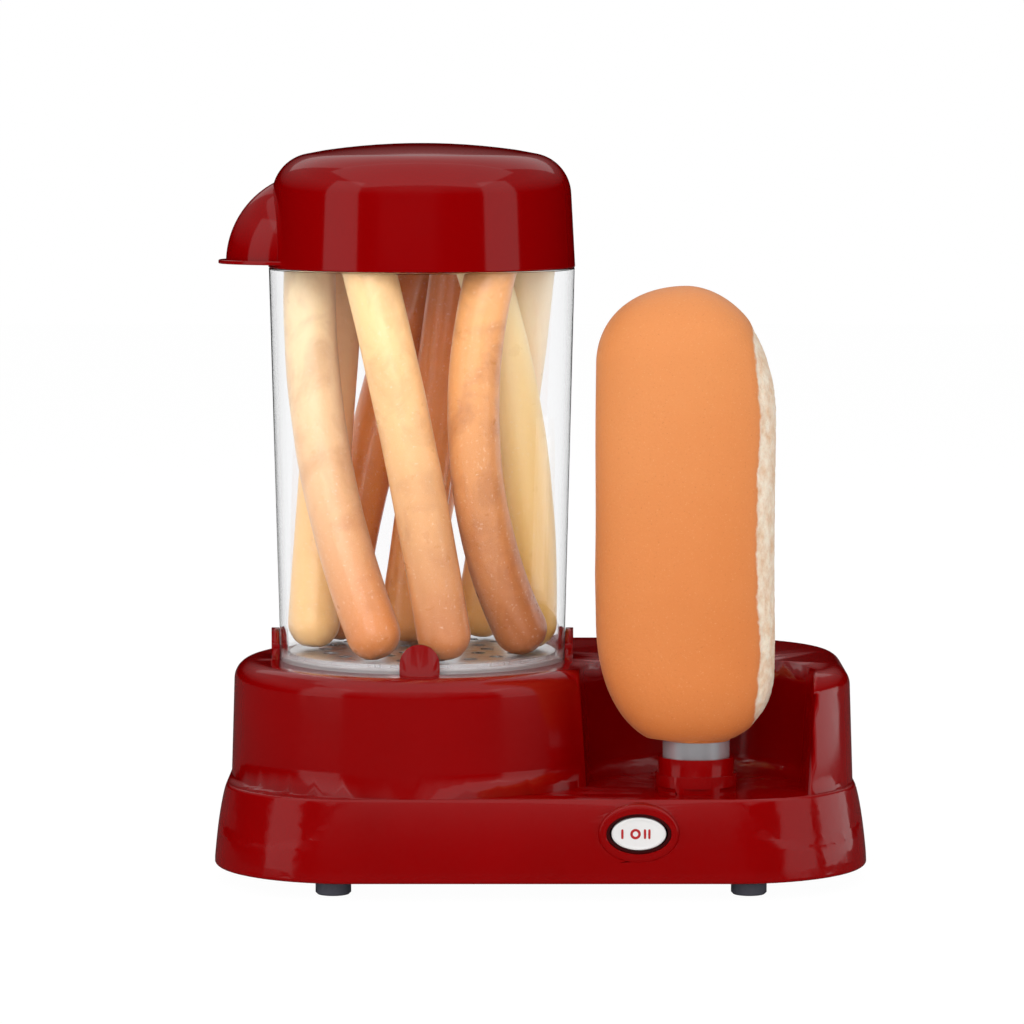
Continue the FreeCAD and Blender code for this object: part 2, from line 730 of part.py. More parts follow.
def base_screws():
    screws = [screw("base_screw_%d" % index, x, y, "base_z - head_height",
                    "plate_thickness + screw_length - screw_end")
              for index, (x, y) in enumerate(POSTS)]
    finished(group("base_screw_set", *screws), "base_screws")


# ---------------------------------------------------------------- cup heater

def heater_dish():
    rim = "flange_z"
    bowl = "dish_opening"
    foot = "dish_foot_radius"
    corners = [(bowl + " - dish_sheet", rim), ("dish_flange_radius", rim),
               ("dish_flange_radius", rim + " - dish_sheet"), (bowl, rim + " - dish_sheet"),
               (foot, "dish_floor_z - dish_sheet"), ("0", "dish_floor_z - dish_sheet"),
               ("0", "dish_floor_z"), (foot + " - dish_sheet", "dish_floor_z")]
    dish = revolved("dish", corners, "drum_x")
    holes = dish_screw_ring(lambda i, x, y: cylinder("dish_clearance_%d" % i, "screw_radius + gap",
                                                     "3 * dish_sheet", x, y, "flange_z - 2 * dish_sheet"))
    finished(cut("dish_cut", dish, fuse("dish_holes", *holes)), "heater_dish")


def dish_gasket():
    corners = [("dish_opening", "0"), ("dish_opening + gasket_width", "0"),
               ("dish_opening + gasket_width", "gasket_height"), ("dish_opening", "gasket_height")]
    finished(revolved("gasket", corners, "drum_x", "0", "flange_z"), "dish_gasket")


def dish_screws():
    grip = "dish_sheet + gasket_height + wall - hole_cover - screw_end"
    screws = dish_screw_ring(lambda i, x, y: screw("dish_screw_%d" % i, x, y,
                                                   "flange_z - dish_sheet - head_height", grip))
    finished(group("dish_screw_set", *screws), "dish_screws")


def heat_spreader():
    disc = cylinder("spreader", "dish_foot_radius - spreader_inset", "spreader_thickness",
                    "drum_x", "0", "spreader_z")
    finished(disc, "heat_spreader")


STUB_ANGLES = (-105, -75)          # of the element's two cold ends about the cup's axis


def heating_element():
    ring = torus("element_ring", "element_radius", "element_tube", "drum_x", "0", "element_z")
    stubs = [cylinder("element_stub_%d" % side, "stub_radius", "stub_length",
                      "drum_x + element_radius * cos(%g)" % angle, "element_radius * sin(%g)" % angle,
                      "element_z - stub_length")
             for side, angle in enumerate(STUB_ANGLES)]
    finished(fuse("element", ring, *stubs), "heating_element")


def element_clamp():
    bar_z = "element_z - element_tube - gap - clamp_thickness"
    half = "element_radius + clamp_overhang"
    bar = box("clamp_bar", ("drum_x - (%s)" % half, "-clamp_width / 2", bar_z),
              ("drum_x + (%s)" % half, "clamp_width / 2", bar_z + " + clamp_thickness"))
    stud = cylinder("clamp_stud", "clamp_stud", "spreader_z - (%s)" % bar_z, "drum_x", "0", bar_z)
    finished(fuse("clamp", bar, stud), "element_clamp")


def thermostat():
    can = cylinder("thermostat_case", "thermostat_radius", "thermostat_can",
                   "drum_x", "thermostat_y", "spreader_z - thermostat_can")
    cap = cylinder("thermostat_end", "thermostat_cap", "thermostat_height",
                   "drum_x", "thermostat_y", "spreader_z - thermostat_height")
    finished(fuse("thermostat_whole", can, cap), "thermostat")


def thermal_fuse():
    finished(cylinder("fuse", "fuse_radius", "fuse_length", "drum_x - fuse_length / 2", "-thermostat_y",
                      "spreader_z - fuse_radius - seat_gap", ALONG_X), "thermal_fuse")


# ---------------------------------------------------------------- spike

def spike_tube():
    bore = "spike_radius - spike_wall"
    shoulder = "tip_z - tip_length"
    corners = [(bore, "lip_z"), ("spike_radius + lip_width", "lip_z"),
               ("spike_radius + lip_width", "lip_z + lip_height"), ("spike_radius", "lip_z + lip_height"),
               ("spike_radius", shoulder), ("tip_radius", "tip_z"), ("0", "tip_z"),
               ("0", "tip_z - spike_wall"), ("tip_radius - spike_wall / 2", "tip_z - spike_wall"),
               (bore, shoulder)]
    finished(revolved("spike", corners, "spike_x", "spike_y"), "spike_tube")


COLLAR_SLOT_COUNT = 7


def spike_collar():
    bore = "spike_radius + running"
    wide = "collar_radius + collar_step"
    foot = "platform_z - spigot_drop"
    waist = "platform_z + collar_height / 2"
    top = "platform_z + collar_height"
    corners = [(bore, foot), ("spigot_radius", foot), ("spigot_radius", "platform_z"), (wide, "platform_z"),
               (wide, waist), ("collar_radius", waist), ("collar_radius", top), (bore, top)]
    ring = revolved("collar", corners, "spike_x", "spike_y")
    slots = []
    for index in range(COLLAR_SLOT_COUNT):
        slot = doc.addObject("Part::Box", "collar_slot_%d" % index)
        bind(slot, Length="2 * collar_wall", Width="slot_width", Height="collar_slot")
        angle = -90 + 360.0 * index / COLLAR_SLOT_COUNT
        out = "(%s - slot_depth)" % wide
        side = "slot_width / 2"
        place(slot, "spike_x + %s * cos(%g) + %s * sin(%g)" % (out, angle, side, angle),
              "spike_y + %s * sin(%g) - %s * cos(%g)" % (out, angle, side, angle),
              "platform_z + slot_rise", Rotation(Vector(0, 0, 1), angle))
        slots.append(slot)
    finished(cut("collar_cut", ring, fuse("collar_slots", *slots)), "spike_collar")


def spike_flange():
    plate = cylinder("flange_disc", "flange_radius", "flange_thickness",
                     "spike_x", "spike_y", "spike_flange_z")
    tools = [cylinder("flange_wire_hole", "wire_hole", "3 * flange_thickness",
                      "spike_x", "spike_y", "spike_flange_z - flange_thickness")]
    tools += flange_screw_ring(lambda i, x, y: cylinder("flange_clearance_%d" % i, "screw_radius + gap",
                                                        "3 * flange_thickness", x, y,
                                                        "spike_flange_z - flange_thickness"))
    finished(cut("flange_cut", plate, fuse("flange_tools", *tools)), "spike_flange")


def spike_screws():
    grip = "flange_thickness + spigot_drop + lip_height - hole_cover - screw_end"
    screws = flange_screw_ring(lambda i, x, y: screw("spike_screw_%d" % i, x, y,
                                                     "spike_flange_z - head_height", grip))
    finished(group("spike_screw_set", *screws), "spike_screws")


def spike_heater():
    finished(cylinder("cartridge", "cartridge_radius", "cartridge_length", "spike_x", "spike_y", "lip_z"),
             "spike_heater")


# ---------------------------------------------------------------- switch

def switch_frame():
    outer = ellipse_prism("frame_outer", "frame_half_width", "frame_half_height", "frame_length",
                          "switch_x", "frame_front_y", "switch_z")
    inner = ellipse_prism("frame_inner", "frame_half_width - frame_wall", "frame_half_height - frame_wall",
                          "frame_length + 2 * frame_wall", "switch_x", "frame_front_y - frame_wall",
                          "switch_z")
    half = "(rocker_half_height + pivot_length + gap / 2)"
    bore = cylinder("pivot_bore", "pivot_radius + running", "2 * " + half,
                    "switch_x", "pivot_y", "switch_z - " + half)
    finished(cut("frame_cut", outer, fuse("frame_tools", inner, bore)), "switch_frame")


def rocker():
    key = ellipse_prism("rocker_key", "rocker_half_width", "rocker_half_height", "rocker_thickness",
                        "switch_x", "-boss_front", "switch_z")
    pin = cylinder("rocker_pin", "pivot_radius", "2 * (rocker_half_height + pivot_length)",
                   "switch_x", "pivot_y", "switch_z - rocker_half_height - pivot_length")
    finished(fuse("rocker_whole", key, pin), "rocker")


def switch_body():
    low = ("switch_x - switch_width / 2", "frame_rear_y", "switch_z - switch_height / 2")
    high = ("switch_x + switch_width / 2", "frame_rear_y + switch_depth", "switch_z + switch_height / 2")
    finished(box("switch_case", low, high), "switch_body")


def switch_terminals():
    tabs = []
    for index in range(3):
        x = "switch_x + tab_pitch * %d" % (index - 1)
        tabs.append(box("tab_%d" % index,
                        (x + " - tab_width / 2", "frame_rear_y + switch_depth", "switch_z - tab_height / 2"),
                        (x + " + tab_width / 2", "frame_rear_y + switch_depth + tab_length",
                         "switch_z + tab_height / 2")))
    finished(group("tab_set", *tabs), "switch_terminals")


# ---------------------------------------------------------------- cord entry and wiring

def cord_gland():
    barrel = cylinder("gland_barrel", "gland_radius", "gland_length", "gland_x",
                      "gland_face_y - gland_length", "gland_z", ALONG_Y)
    flange = cylinder("gland_flange_disc", "gland_flange", "gland_flange_height", "gland_x",
                      "gland_face_y", "gland_z", ALONG_Y)
    bore = cylinder("gland_through", "gland_bore", "2 * gland_length", "gland_x",
                    "gland_face_y - 1.5 * gland_length", "gland_z", ALONG_Y)
    finished(cut("gland_cut", fuse("gland_whole", barrel, flange), bore), "cord_gland")


def gland_nut():
    y = "gland_face_y - boss_root - gland_nut_height"
    ring = doc.addObject("Part::Prism", "nut_hexagon")
    ring.Polygon = 6
    bind(ring, Circumradius="gland_nut_radius", Height="gland_nut_height")
    place(ring, "gland_x", y, "gland_z", ALONG_Y)
    bore = cylinder("nut_bore", "gland_radius + running", "gland_length", "gland_x",
                    y + " - gland_nut_height", "gland_z", ALONG_Y)
    finished(cut("nut_cut", ring, bore), "gland_nut")


def terminal_block():
    low = ("gland_x - block_length / 2", "block_y - block_width / 2", "plate_top_z")
    high = ("gland_x + block_length / 2", "block_y + block_width / 2", "plate_top_z + block_height")
    finished(box("terminal_case", low, high), "terminal_block")


def wire(label, points):
    """A round wire along straight runs joined by tangent arcs."""
    points = [Vector(*point) for point in points]
    bend = size("wire_bend")
    edges = []
    last = points[0]
    for before, corner, after in zip(points, points[1:], points[2:]):
        into = (corner - before).normalize()
        out = (after - corner).normalize()
        half_turn = into.getAngle(out) / 2
        cut_back = bend * math.tan(half_turn)
        start = corner - into * cut_back
        end = corner + out * cut_back
        towards = (out - into).normalize()
        middle = corner + towards * (bend / math.cos(half_turn) - bend)
        edges.append(Part.LineSegment(last, start).toShape())
        edges.append(Part.Arc(start, middle, end).toShape())
        last = end
    edges.append(Part.LineSegment(last, points[-1]).toShape())
    path = Part.Wire(edges)
    profile = Part.Wire(Part.Circle(points[0], points[1] - points[0], size("wire_radius")).toShape())
    feature = doc.addObject("Part::Feature", label)
    feature.Shape = path.makePipeShell([profile], True, False)
    finished(feature, label)


def wires():
    block_y = size("block_y")
    block_top = size("plate_top_z") + size("block_height")
    block_mid = size("plate_top_z") + size("block_height") / 2
    block_front = block_y - size("block_width") / 2
    run = size("wire_run")
    spread = size("wire_spread")
    middle_x = size("gland_x")

    angle = math.radians(STUB_ANGLES[1])
    stub_x = size("drum_x") + size("element_radius") * math.cos(angle)
    stub_y = size("element_radius") * math.sin(angle)
    stub_z = size("element_z") - size("stub_length")
    high = block_top + size("wire_rise")
    wire("heater_wire", [(middle_x - spread, block_y, block_top), (middle_x - spread, block_y, high),
                         (stub_x, stub_y, high), (stub_x, stub_y, stub_z)])

    switch_x = size("switch_x")
    switch_z = size("switch_z")
    tab_y = size("frame_rear_y") + size("switch_depth") + size("tab_length")
    wire("switch_wire", [(switch_x, tab_y, switch_z), (switch_x, tab_y + run, switch_z),
                         (middle_x, block_front - run, block_mid), (middle_x, block_front, block_mid)])

    spike_x = size("spike_x")
    spike_y = size("spike_y")
    low = (block_mid + size("spike_flange_z")) / 2
    right_x = middle_x + spread
    wire("spike_wire", [(spike_x, spike_y, size("lip_z")), (spike_x, spike_y, low),
                        (right_x, block_front - run, block_mid), (right_x, block_front, block_mid)])


# ---------------------------------------------------------------- cup and rack

def cup():
    lean = "(cup_rim_radius - cup_foot_radius) / cup_height"
    collar = "cup_height - 2 * cup_lip_wall"
    corners = [("cup_opening", "0"), ("cup_foot_radius", "0"), ("cup_rim_radius", "cup_height"),
               ("cup_lip_radius", "cup_height"), ("cup_lip_radius", "cup_height + cup_lip_height"),
               ("cup_lip_bore", "cup_height + cup_lip_height"), ("cup_lip_bore", "cup_height - cup_lip_wall"),
               ("cup_foot_radius - cup_wall + %s * (%s)" % (lean, collar), collar),
               ("cup_foot_radius - cup_wall + %s * cup_floor" % lean, "cup_floor"),
               ("cup_opening", "cup_floor")]
    finished(revolved("cup_shell", corners, "drum_x", "0", "cup_z"), "cup")


def rack_plate():
    disc = cylinder("rack_disc", "rack_radius", "rack_thickness", "drum_x", "0", "rack_z")
    tools = [cylinder("rack_hole_middle", "rack_hole", "3 * rack_thickness",
                      "drum_x", "0", "rack_z - rack_thickness")]
    for ring in range(1, 4):
        tools += ring_of(6 * ring, lambda i, x, y: cylinder("rack_hole_%d_%d" % (ring, i), "rack_hole",
                                                            "3 * rack_thickness", x, y,
                                                            "rack_z - rack_thickness"),
                         "rack_hole_pitch * %d" % ring, 0, "drum_x")
    finished(cut("rack_cut", disc, fuse("rack_tools", *tools)), "rack_plate")


# ---------------------------------------------------------------- lid

def dome(name, inset):
    """The lid's cap as a solid: a leaning side and a crowned top with a round shoulder."""
    side = cone(name + "_side", "lid_radius - (%s)" % inset, "lid_radius - lid_lean - (%s)" % inset,
                "lid_height - (%s)" % inset, "drum_x", "0", "lid_z")
    crown = doc.addObject("Part::Sphere", name + "_crown")
    bind(crown, Radius="crown_radius - (%s)" % inset)
    place(crown, "drum_x", "0", "lid_z + lid_height - crown_radius")
    cap = common(name + "_cap", side, crown)
    doc.recompute()
    edges = [number for number, edge in enumerate(cap.Shape.Edges, start=1)
             if edge.Closed and edge.BoundBox.ZMin > size("lid_z") + size("lid_height") / 2]
    rounded = doc.addObject("Part::Fillet", name)
    rounded.Base = cap
    radius = size("lid_shoulder") - (size("lid_wall") if inset != "0" else 0.0)
    rounded.Edges = [(number, radius, radius) for number in edges]
    return rounded


def hood(name, inset):
    """The beak's bulge, an ellipsoid about a point inside the lid's edge."""
    bulge = doc.addObject("Part::Ellipsoid", name)
    bind(bulge, Radius1="beak_radius - (%s)" % inset, Radius2="beak_radius - (%s)" % inset,
         Radius3="beak_half_width - (%s)" % inset)
    return place(bulge, "beak_x", "0", "beak_z")


def lid():
    outer = dome("lid_outer", "0")
    inner = dome("lid_inner", "lid_wall")
    below = box("below_beak", ("drum_x - 2 * beak_reach", "-depth", "lid_z - 2 * lid_height"),
                ("drum_x", "depth", "beak_z"))
    right = box("right_of_beak", ("drum_x - lid_radius / 2", "-depth", "beak_z - lid_wall"),
                ("drum_x + beak_reach", "depth", "lid_z + 2 * lid_height"))
    lip = doc.addObject("Part::Ellipse", "lip_outline")
    bind(lip, MajorRadius="beak_radius + beak_lip", MinorRadius="beak_half_width + beak_lip")
    place(lip, "beak_x", "0", "beak_z")
    lip_plate = doc.addObject("Part::Extrusion", "lip_plate")
    lip_plate.Base = lip
    lip_plate.DirMode = "Custom"
    lip_plate.Dir = Vector(0, 0, 1)
    lip_plate.Solid = True
    bind(lip_plate, LengthFwd="beak_lip_height")
    solid_hood = fuse("hood_with_lip", hood("hood_outer", "0"), lip_plate)
    beak = cut("beak", solid_hood, fuse("beak_tools", hood("hood_inner", "lid_wall"), below, right))
    finished(cut("lid_shell", fuse("lid_with_beak", outer, beak), inner), "lid")


# ---------------------------------------------------------------- food

# Each sausage as an arc through its foot, waist and head: (angle about the cup's axis, in
# degrees from the front and positive to the right, and distance from it as a share of the
# largest that the cup leaves there).
SAUSAGES = [
    ((-25, 1.00), (-66, 0.95), (-90, 0.98)),
    ((12, 1.00), (-6, 0.96), (-29, 0.98)),
    ((62, 1.00), (29, 0.95), (42, 0.98)),
    ((91, 1.00), (84, 0.86), (62, 0.53)),
    ((147, 1.00), (124, 0.94), (96, 0.98)),
    ((188, 1.00), (169, 0.92), (146, 0.98)),
    ((234, 1.00), (207, 0.93), (176, 0.98)),
    ((270, 1.00), (248, 0.92), (228, 0.98)),
    ((200, 0.46), (168, 0.42), (135, 0.46)),
]


def sausage_point(angle, share, height):
    """A point on a sausage's middle line, `height` above the rack."""
    room = (size("cup_foot_radius") - size("cup_wall") - size("sausage_radius") - size("sausage_gap"))
    room += (size("cup_rim_radius") - size("cup_foot_radius")) * min(height / size("cup_height"), 0.5)
    turn = math.radians(angle)
    return Vector(size("drum_x") + room * share * math.sin(turn), -room * share * math.cos(turn),
                  size("food_z") + height)


def sausages():
    radius = size("sausage_radius")
    for number, places in enumerate(SAUSAGES, start=1):
        heights = (radius, size("sausage_length") / 2, size("sausage_length") - radius)
        foot, waist, head = [sausage_point(angle, share, height)
                             for (angle, share), height in zip(places, heights)]
        spine = Part.Arc(foot, waist, head).toShape()
        profile = Part.Wire(Part.Circle(foot, spine.tangentAt(spine.FirstParameter), radius).toShape())
        skin = Part.Wire(spine).makePipeShell([profile], True, False)
        ends = [Part.makeSphere(radius, foot), Part.makeSphere(radius, head)]
        label = "sausage_%02d" % number
        feature = doc.addObject("Part::Feature", label)
        feature.Shape = skin.multiFuse(ends).Solids[0]
        finished(feature, label)


def bun():
    left = "bun_x - bun_width / 2"
    right = "bun_x + bun_width / 2"
    body = padded("loaf", tier_plan(left, right, "bun_depth / 2"), "bun_height", "bun_z")
    high = top_of(body)
    round_edges(body, "bun_top_corner",
                lambda edge, middle: is_level_at(edge, high) and edge.BoundBox.YLength > 1)
    round_edges(body, "bun_foot_corner",
                lambda edge, middle: is_level_at(edge, 0.0) and edge.BoundBox.YLength > 1)
    half = size("bun_depth") / 2
    round_edges(body, "bun_rounding",
                lambda edge, middle: edge.BoundBox.YLength < 0.01 and abs(abs(middle.y) - half) < 0.01)
    body.setExpression("Placement.Base.y", linked("spike_y"))
    bore = cylinder("bun_bore", "spike_radius + bun_bore_clearance", "tip_z + gap - bun_z + bun_rise / 2",
                    "spike_x", "spike_y", "bun_z - bun_rise / 2")
    finished(cut("bun_cut", body, bore), "bun")


def check_and_write():
    doc.recompute()
    for item in doc.Objects:
        if "Invalid" in item.State or "Error" in item.State:
            raise RuntimeError("%s failed: %s" % (item.Name, item.State))
    for feature in nodes:
        shape = feature.Shape
        if shape.isNull() or not shape.isValid() or not shape.Solids:
            raise RuntimeError("%s has no valid solid" % feature.Label)
    for feature in nodes:
        feature.Shape.exportStep(os.path.join("parts", feature.Label + ".step"))
    print("wrote %d sub-parts" % len(nodes))


base_housing()
bottom_plate()
feet()
base_screws()
heater_dish()
dish_gasket()
dish_screws()
heat_spreader()
heating_element()
element_clamp()
thermostat()
thermal_fuse()
spike_tube()
spike_collar()
spike_flange()
spike_screws()
spike_heater()
switch_frame()
rocker()
switch_body()
switch_terminals()
cord_gland()
gland_nut()
terminal_block()
wires()
cup()
rack_plate()
lid()
sausages()
bun()
check_and_write()
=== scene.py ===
import json
import math

import bmesh
import bpy
import numpy as np
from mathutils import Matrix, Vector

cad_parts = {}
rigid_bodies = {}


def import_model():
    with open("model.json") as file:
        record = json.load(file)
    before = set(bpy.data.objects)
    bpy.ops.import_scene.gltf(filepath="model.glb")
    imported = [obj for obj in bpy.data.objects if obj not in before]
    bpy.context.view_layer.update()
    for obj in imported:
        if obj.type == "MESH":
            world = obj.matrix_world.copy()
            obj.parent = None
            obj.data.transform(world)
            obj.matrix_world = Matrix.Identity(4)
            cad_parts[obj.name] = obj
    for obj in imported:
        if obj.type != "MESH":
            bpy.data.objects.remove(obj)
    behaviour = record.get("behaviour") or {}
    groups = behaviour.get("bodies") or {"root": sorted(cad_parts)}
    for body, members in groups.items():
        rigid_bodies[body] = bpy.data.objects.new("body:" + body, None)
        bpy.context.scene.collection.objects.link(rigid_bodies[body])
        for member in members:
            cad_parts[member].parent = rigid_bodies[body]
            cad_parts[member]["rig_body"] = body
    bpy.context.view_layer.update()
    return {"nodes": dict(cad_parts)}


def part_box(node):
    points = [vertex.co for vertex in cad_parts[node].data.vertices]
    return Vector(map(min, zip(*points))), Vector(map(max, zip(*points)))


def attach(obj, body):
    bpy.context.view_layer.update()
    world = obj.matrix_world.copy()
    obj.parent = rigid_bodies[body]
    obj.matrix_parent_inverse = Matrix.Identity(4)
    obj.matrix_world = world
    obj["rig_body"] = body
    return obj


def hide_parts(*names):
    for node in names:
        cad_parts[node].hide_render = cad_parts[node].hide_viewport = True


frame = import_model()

# Hot dog toaster: red moulded base and lid, clear steam cup of sausages, bun on a heated spike.
# Metres, +X right, +Y to the rear, +Z up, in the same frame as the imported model.

nodes = frame["nodes"]
bpy.context.scene.view_settings.view_transform = "Standard"
print("frame loaded, %d nodes" % len(nodes))


# Mesh tools

weldDistance = 2e-6
cutSlack = 1e-7
hair = 1e-9           # keeps a length that is divided by away from nothing


# A profile with each corner (across, up, radius) replaced by an arc: the arc starts and ends
# radius / tan(half the corner's angle) from the corner, and its middle points follow the
# circle that touches both sides.
def rounded(corners, steps=8):
    points = []
    last = len(corners) - 1
    for number, (across, up, radius) in enumerate(corners):
        corner = np.array([across, up])
        if radius == 0 or number in (0, last):
            points.append(corner)
            continue
        before = np.array(corners[number - 1][:2]) - corner
        after = np.array(corners[number + 1][:2]) - corner
        before /= np.linalg.norm(before)
        after /= np.linalg.norm(after)
        half = math.acos(np.clip(before @ after, -1, 1)) / 2
        centre = corner + (before + after) / np.linalg.norm(before + after) * radius / math.sin(half)
        start = corner + before * radius / math.tan(half) - centre
        end = corner + after * radius / math.tan(half) - centre
        sweep = math.acos(np.clip(start @ end / radius ** 2, -1, 1))
        for share in np.linspace(0, 1, steps + 1):
            arm = start * math.sin((1 - share) * sweep) + end * math.sin(share * sweep)
            points.append(centre + arm / math.sin(sweep))
    return np.array(points)


# Surface of revolution: point = centre + (r sin a, -r cos a, z), a from 0 to a full turn.
def turned(profile, centre, columns=192):
    angle = np.linspace(0, 2 * math.pi, columns + 1)
    radius = profile[:, :1]
    height = np.repeat(profile[:, 1:], columns + 1, axis=1)
    return np.stack([centre[0] + radius * np.sin(angle), centre[1] - radius * np.cos(angle),
                     centre[2] + height], axis=-1)


# A surface from a rows x columns x 3 array of points, with UV across the columns and rows.
# Rows or columns that end where they began are welded, and a row that is one point is a pole.
def gridPiece(name, grid, material, body, sharpAngle=38.0, marks=None, twoSided=False):
    rows, columns = grid.shape[:2]
    index = np.arange(rows * columns).reshape(rows, columns)
    corners = [index[:-1, :-1], index[:-1, 1:], index[1:, 1:], index[1:, :-1]]
    quads = np.stack(corners, -1).reshape(-1, 4)
    mesh = bpy.data.meshes.new(name)
    mesh.from_pydata(grid.reshape(-1, 3).tolist(), [], quads.tolist())
    across, up = np.meshgrid(np.linspace(0, 1, columns), np.linspace(0, 1, rows))
    uv = np.stack([across, up], -1).reshape(-1, 2)[quads.reshape(-1)]
    mesh.uv_layers.new(name="surface").data.foreach_set("uv", uv.astype(np.float32).ravel())
    for mark, values in (marks or {}).items():
        layer = mesh.attributes.new(mark, "FLOAT", "POINT")
        layer.data.foreach_set("value", values.astype(np.float32).ravel())
    return finishMesh(name, mesh, material, body, sharpAngle, not twoSided)


# Weld doubles, point the faces outwards, shade smooth with sharp creases, and ride on a body.
def finishMesh(name, mesh, material, body, sharpAngle, recalculate=True):
    work = bmesh.new()
    work.from_mesh(mesh)
    bmesh.ops.remove_doubles(work, verts=work.verts, dist=weldDistance)
    bmesh.ops.dissolve_degenerate(work, edges=work.edges, dist=weldDistance)
    if recalculate:
        bmesh.ops.recalc_face_normals(work, faces=work.faces)
    work.to_mesh(mesh)
    work.free()
    mesh.polygons.foreach_set("use_smooth", np.ones(len(mesh.polygons), bool))
    mesh.set_sharp_from_angle(angle=math.radians(sharpAngle))
    mesh.materials.clear()
    mesh.materials.append(material)
    piece = bpy.data.objects.new(name, mesh)
    bpy.context.scene.collection.objects.link(piece)
    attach(piece, body)
    return piece


# A CAD node's own shape with its loose triangles welded and shaded smooth. `cuts` are levels
# (axis, place) that divide its faces, and `bend` moves the points of the divided mesh.
def smoothCopy(node, material, sharpAngle=30.0, cuts=(), bend=None):
    mesh = nodes[node].data.copy()
    mesh.name = node + "Skin"
    mesh.normals_split_custom_set([(0, 0, 0)] * len(mesh.loops))
    if cuts:
        work = bmesh.new()
        work.from_mesh(mesh)
        bmesh.ops.remove_doubles(work, verts=work.verts, dist=weldDistance)
        for axis, place in cuts:
            normal = np.eye(3)[axis]
            bmesh.ops.bisect_plane(work, geom=work.verts[:] + work.edges[:] + work.faces[:],
                                   dist=cutSlack, plane_co=normal * place, plane_no=normal)
        work.to_mesh(mesh)
        work.free()
    if bend:
        points = np.empty(len(mesh.vertices) * 3)
        mesh.vertices.foreach_get("co", points)
        mesh.vertices.foreach_set("co", bend(points.reshape(-1, 3)).ravel())
    piece = finishMesh(node + "Skin", mesh, material, nodes[node]["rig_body"], sharpAngle, False)
    even = piece.modifiers.new("evenShading", "WEIGHTED_NORMAL")
    even.keep_sharp = True
    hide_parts(node)


# The middle of a CAD node's box.
def middle(node):
    low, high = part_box(node)
    return (low + high) / 2


# Smooth pseudo-noise, mostly between -1 and 1: sines of random directions and phases, with wave
# numbers between low and high along the coordinate arrays, summed over the root of their count.
def waves(seed, count, low, high, *axes):
    rng = np.random.default_rng(seed)
    total = 0
    for number in rng.uniform(low, high, count):
        way = rng.normal(size=len(axes))
        way *= number / np.linalg.norm(way)
        phase = sum(k * axis for k, axis in zip(way, axes))
        total = total + np.sin(phase + rng.uniform(0, 2 * math.pi))
    return total / math.sqrt(count)


# Material tools

# Linear RGBA from the usual 0 to 255 values.
def colour(red, green, blue):
    shares = np.array([red, green, blue]) / 255
    line = np.where(shares <= 0.04045, shares / 12.92, ((shares + 0.055) / 1.055) ** 2.4)
    return (*line.tolist(), 1.0)


# A shader node whose inputs are numbers, colours or other nodes' outputs.
def addNode(tree, kind, inputs=None, **settings):
    made = tree.nodes.new(kind)
    for key, value in settings.items():
        setattr(made, key, value)
    for key, value in (inputs or {}).items():
        if isinstance(value, bpy.types.NodeSocket):
            tree.links.new(value, made.inputs[key])
        else:
            made.inputs[key].default_value = value
    return made


# An empty material with its tree and the place on the object, in metres.
def newMaterial(name):
    material = bpy.data.materials.new(name)
    material.use_nodes = True
    tree = material.node_tree
    tree.nodes.clear()
    place = addNode(tree, "ShaderNodeTexCoord").outputs["Object"]
    return material, tree, place


# Noise from 0 to 1 with `scale` cells to the metre.
def noise(tree, vector, scale, detail=3.0, roughness=0.5, distortion=0.0):
    inputs = {"Vector": vector, "Scale": scale, "Detail": detail, "Roughness": roughness,
              "Distortion": distortion}
    return addNode(tree, "ShaderNodeTexNoise", inputs).outputs["Fac"]


# A value carried in a straight line from one range to another, and held at the ends.
def spread(tree, value, fromLow, fromHigh, toLow, toHigh):
    inputs = {"Value": value, "From Min": fromLow, "From Max": fromHigh, "To Min": toLow,
              "To Max": toHigh}
    return addNode(tree, "ShaderNodeMapRange", inputs).outputs["Result"]


# Two values through one Math node.
def maths(tree, operation, first, second, clamped=False):
    return addNode(tree, "ShaderNodeMath", {0: first, 1: second}, operation=operation,
                   use_clamp=clamped).outputs[0]


# A place with its axes scaled, which draws noise out along the axis of the smallest scale.
def drawnOut(tree, vector, scale):
    return addNode(tree, "ShaderNodeMapping", {"Vector": vector, "Scale": scale}).outputs["Vector"]


# The X, Y and Z of a vector.
def partsOf(tree, vector):
    return addNode(tree, "ShaderNodeSeparateXYZ", {"Vector": vector}).outputs


# Colour stops (place, colour) along a 0 to 1 value.
def ramp(tree, value, stops):
    made = addNode(tree, "ShaderNodeValToRGB", {"Fac": value})
    band = made.color_ramp
    while len(band.elements) < len(stops):
        band.elements.new(0.5)
    for element, (place, shade) in zip(band.elements, stops):
        element.position = place
        element.color = shade
    return made.outputs["Color"]


# The first colour at factor 0 and the second at 1.
def mixed(tree, factor, first, second):
    made = addNode(tree, "ShaderNodeMix", data_type="RGBA")
    for socket, value in ((made.inputs[0], factor), (made.inputs[6], first), (made.inputs[7], second)):
        if isinstance(value, bpy.types.NodeSocket):
            tree.links.new(value, socket)
        else:
            socket.default_value = value
    return made.outputs[2]


# A bump of at most `distance` metres, on top of another one if given.
def bump(tree, height, strength, distance, below=None):
    inputs = {"Height": height, "Strength": strength, "Distance": distance}
    if below is not None:
        inputs["Normal"] = below
    return addNode(tree, "ShaderNodeBump", inputs).outputs["Normal"]


# The principled shader and the output; underscores in names stand for spaces.
def surface(tree, **inputs):
    shader = addNode(tree, "ShaderNodeBsdfPrincipled",
                     {key.replace("_", " "): value for key, value in inputs.items()})
    addNode(tree, "ShaderNodeOutputMaterial", {"Surface": shader.outputs[0]})


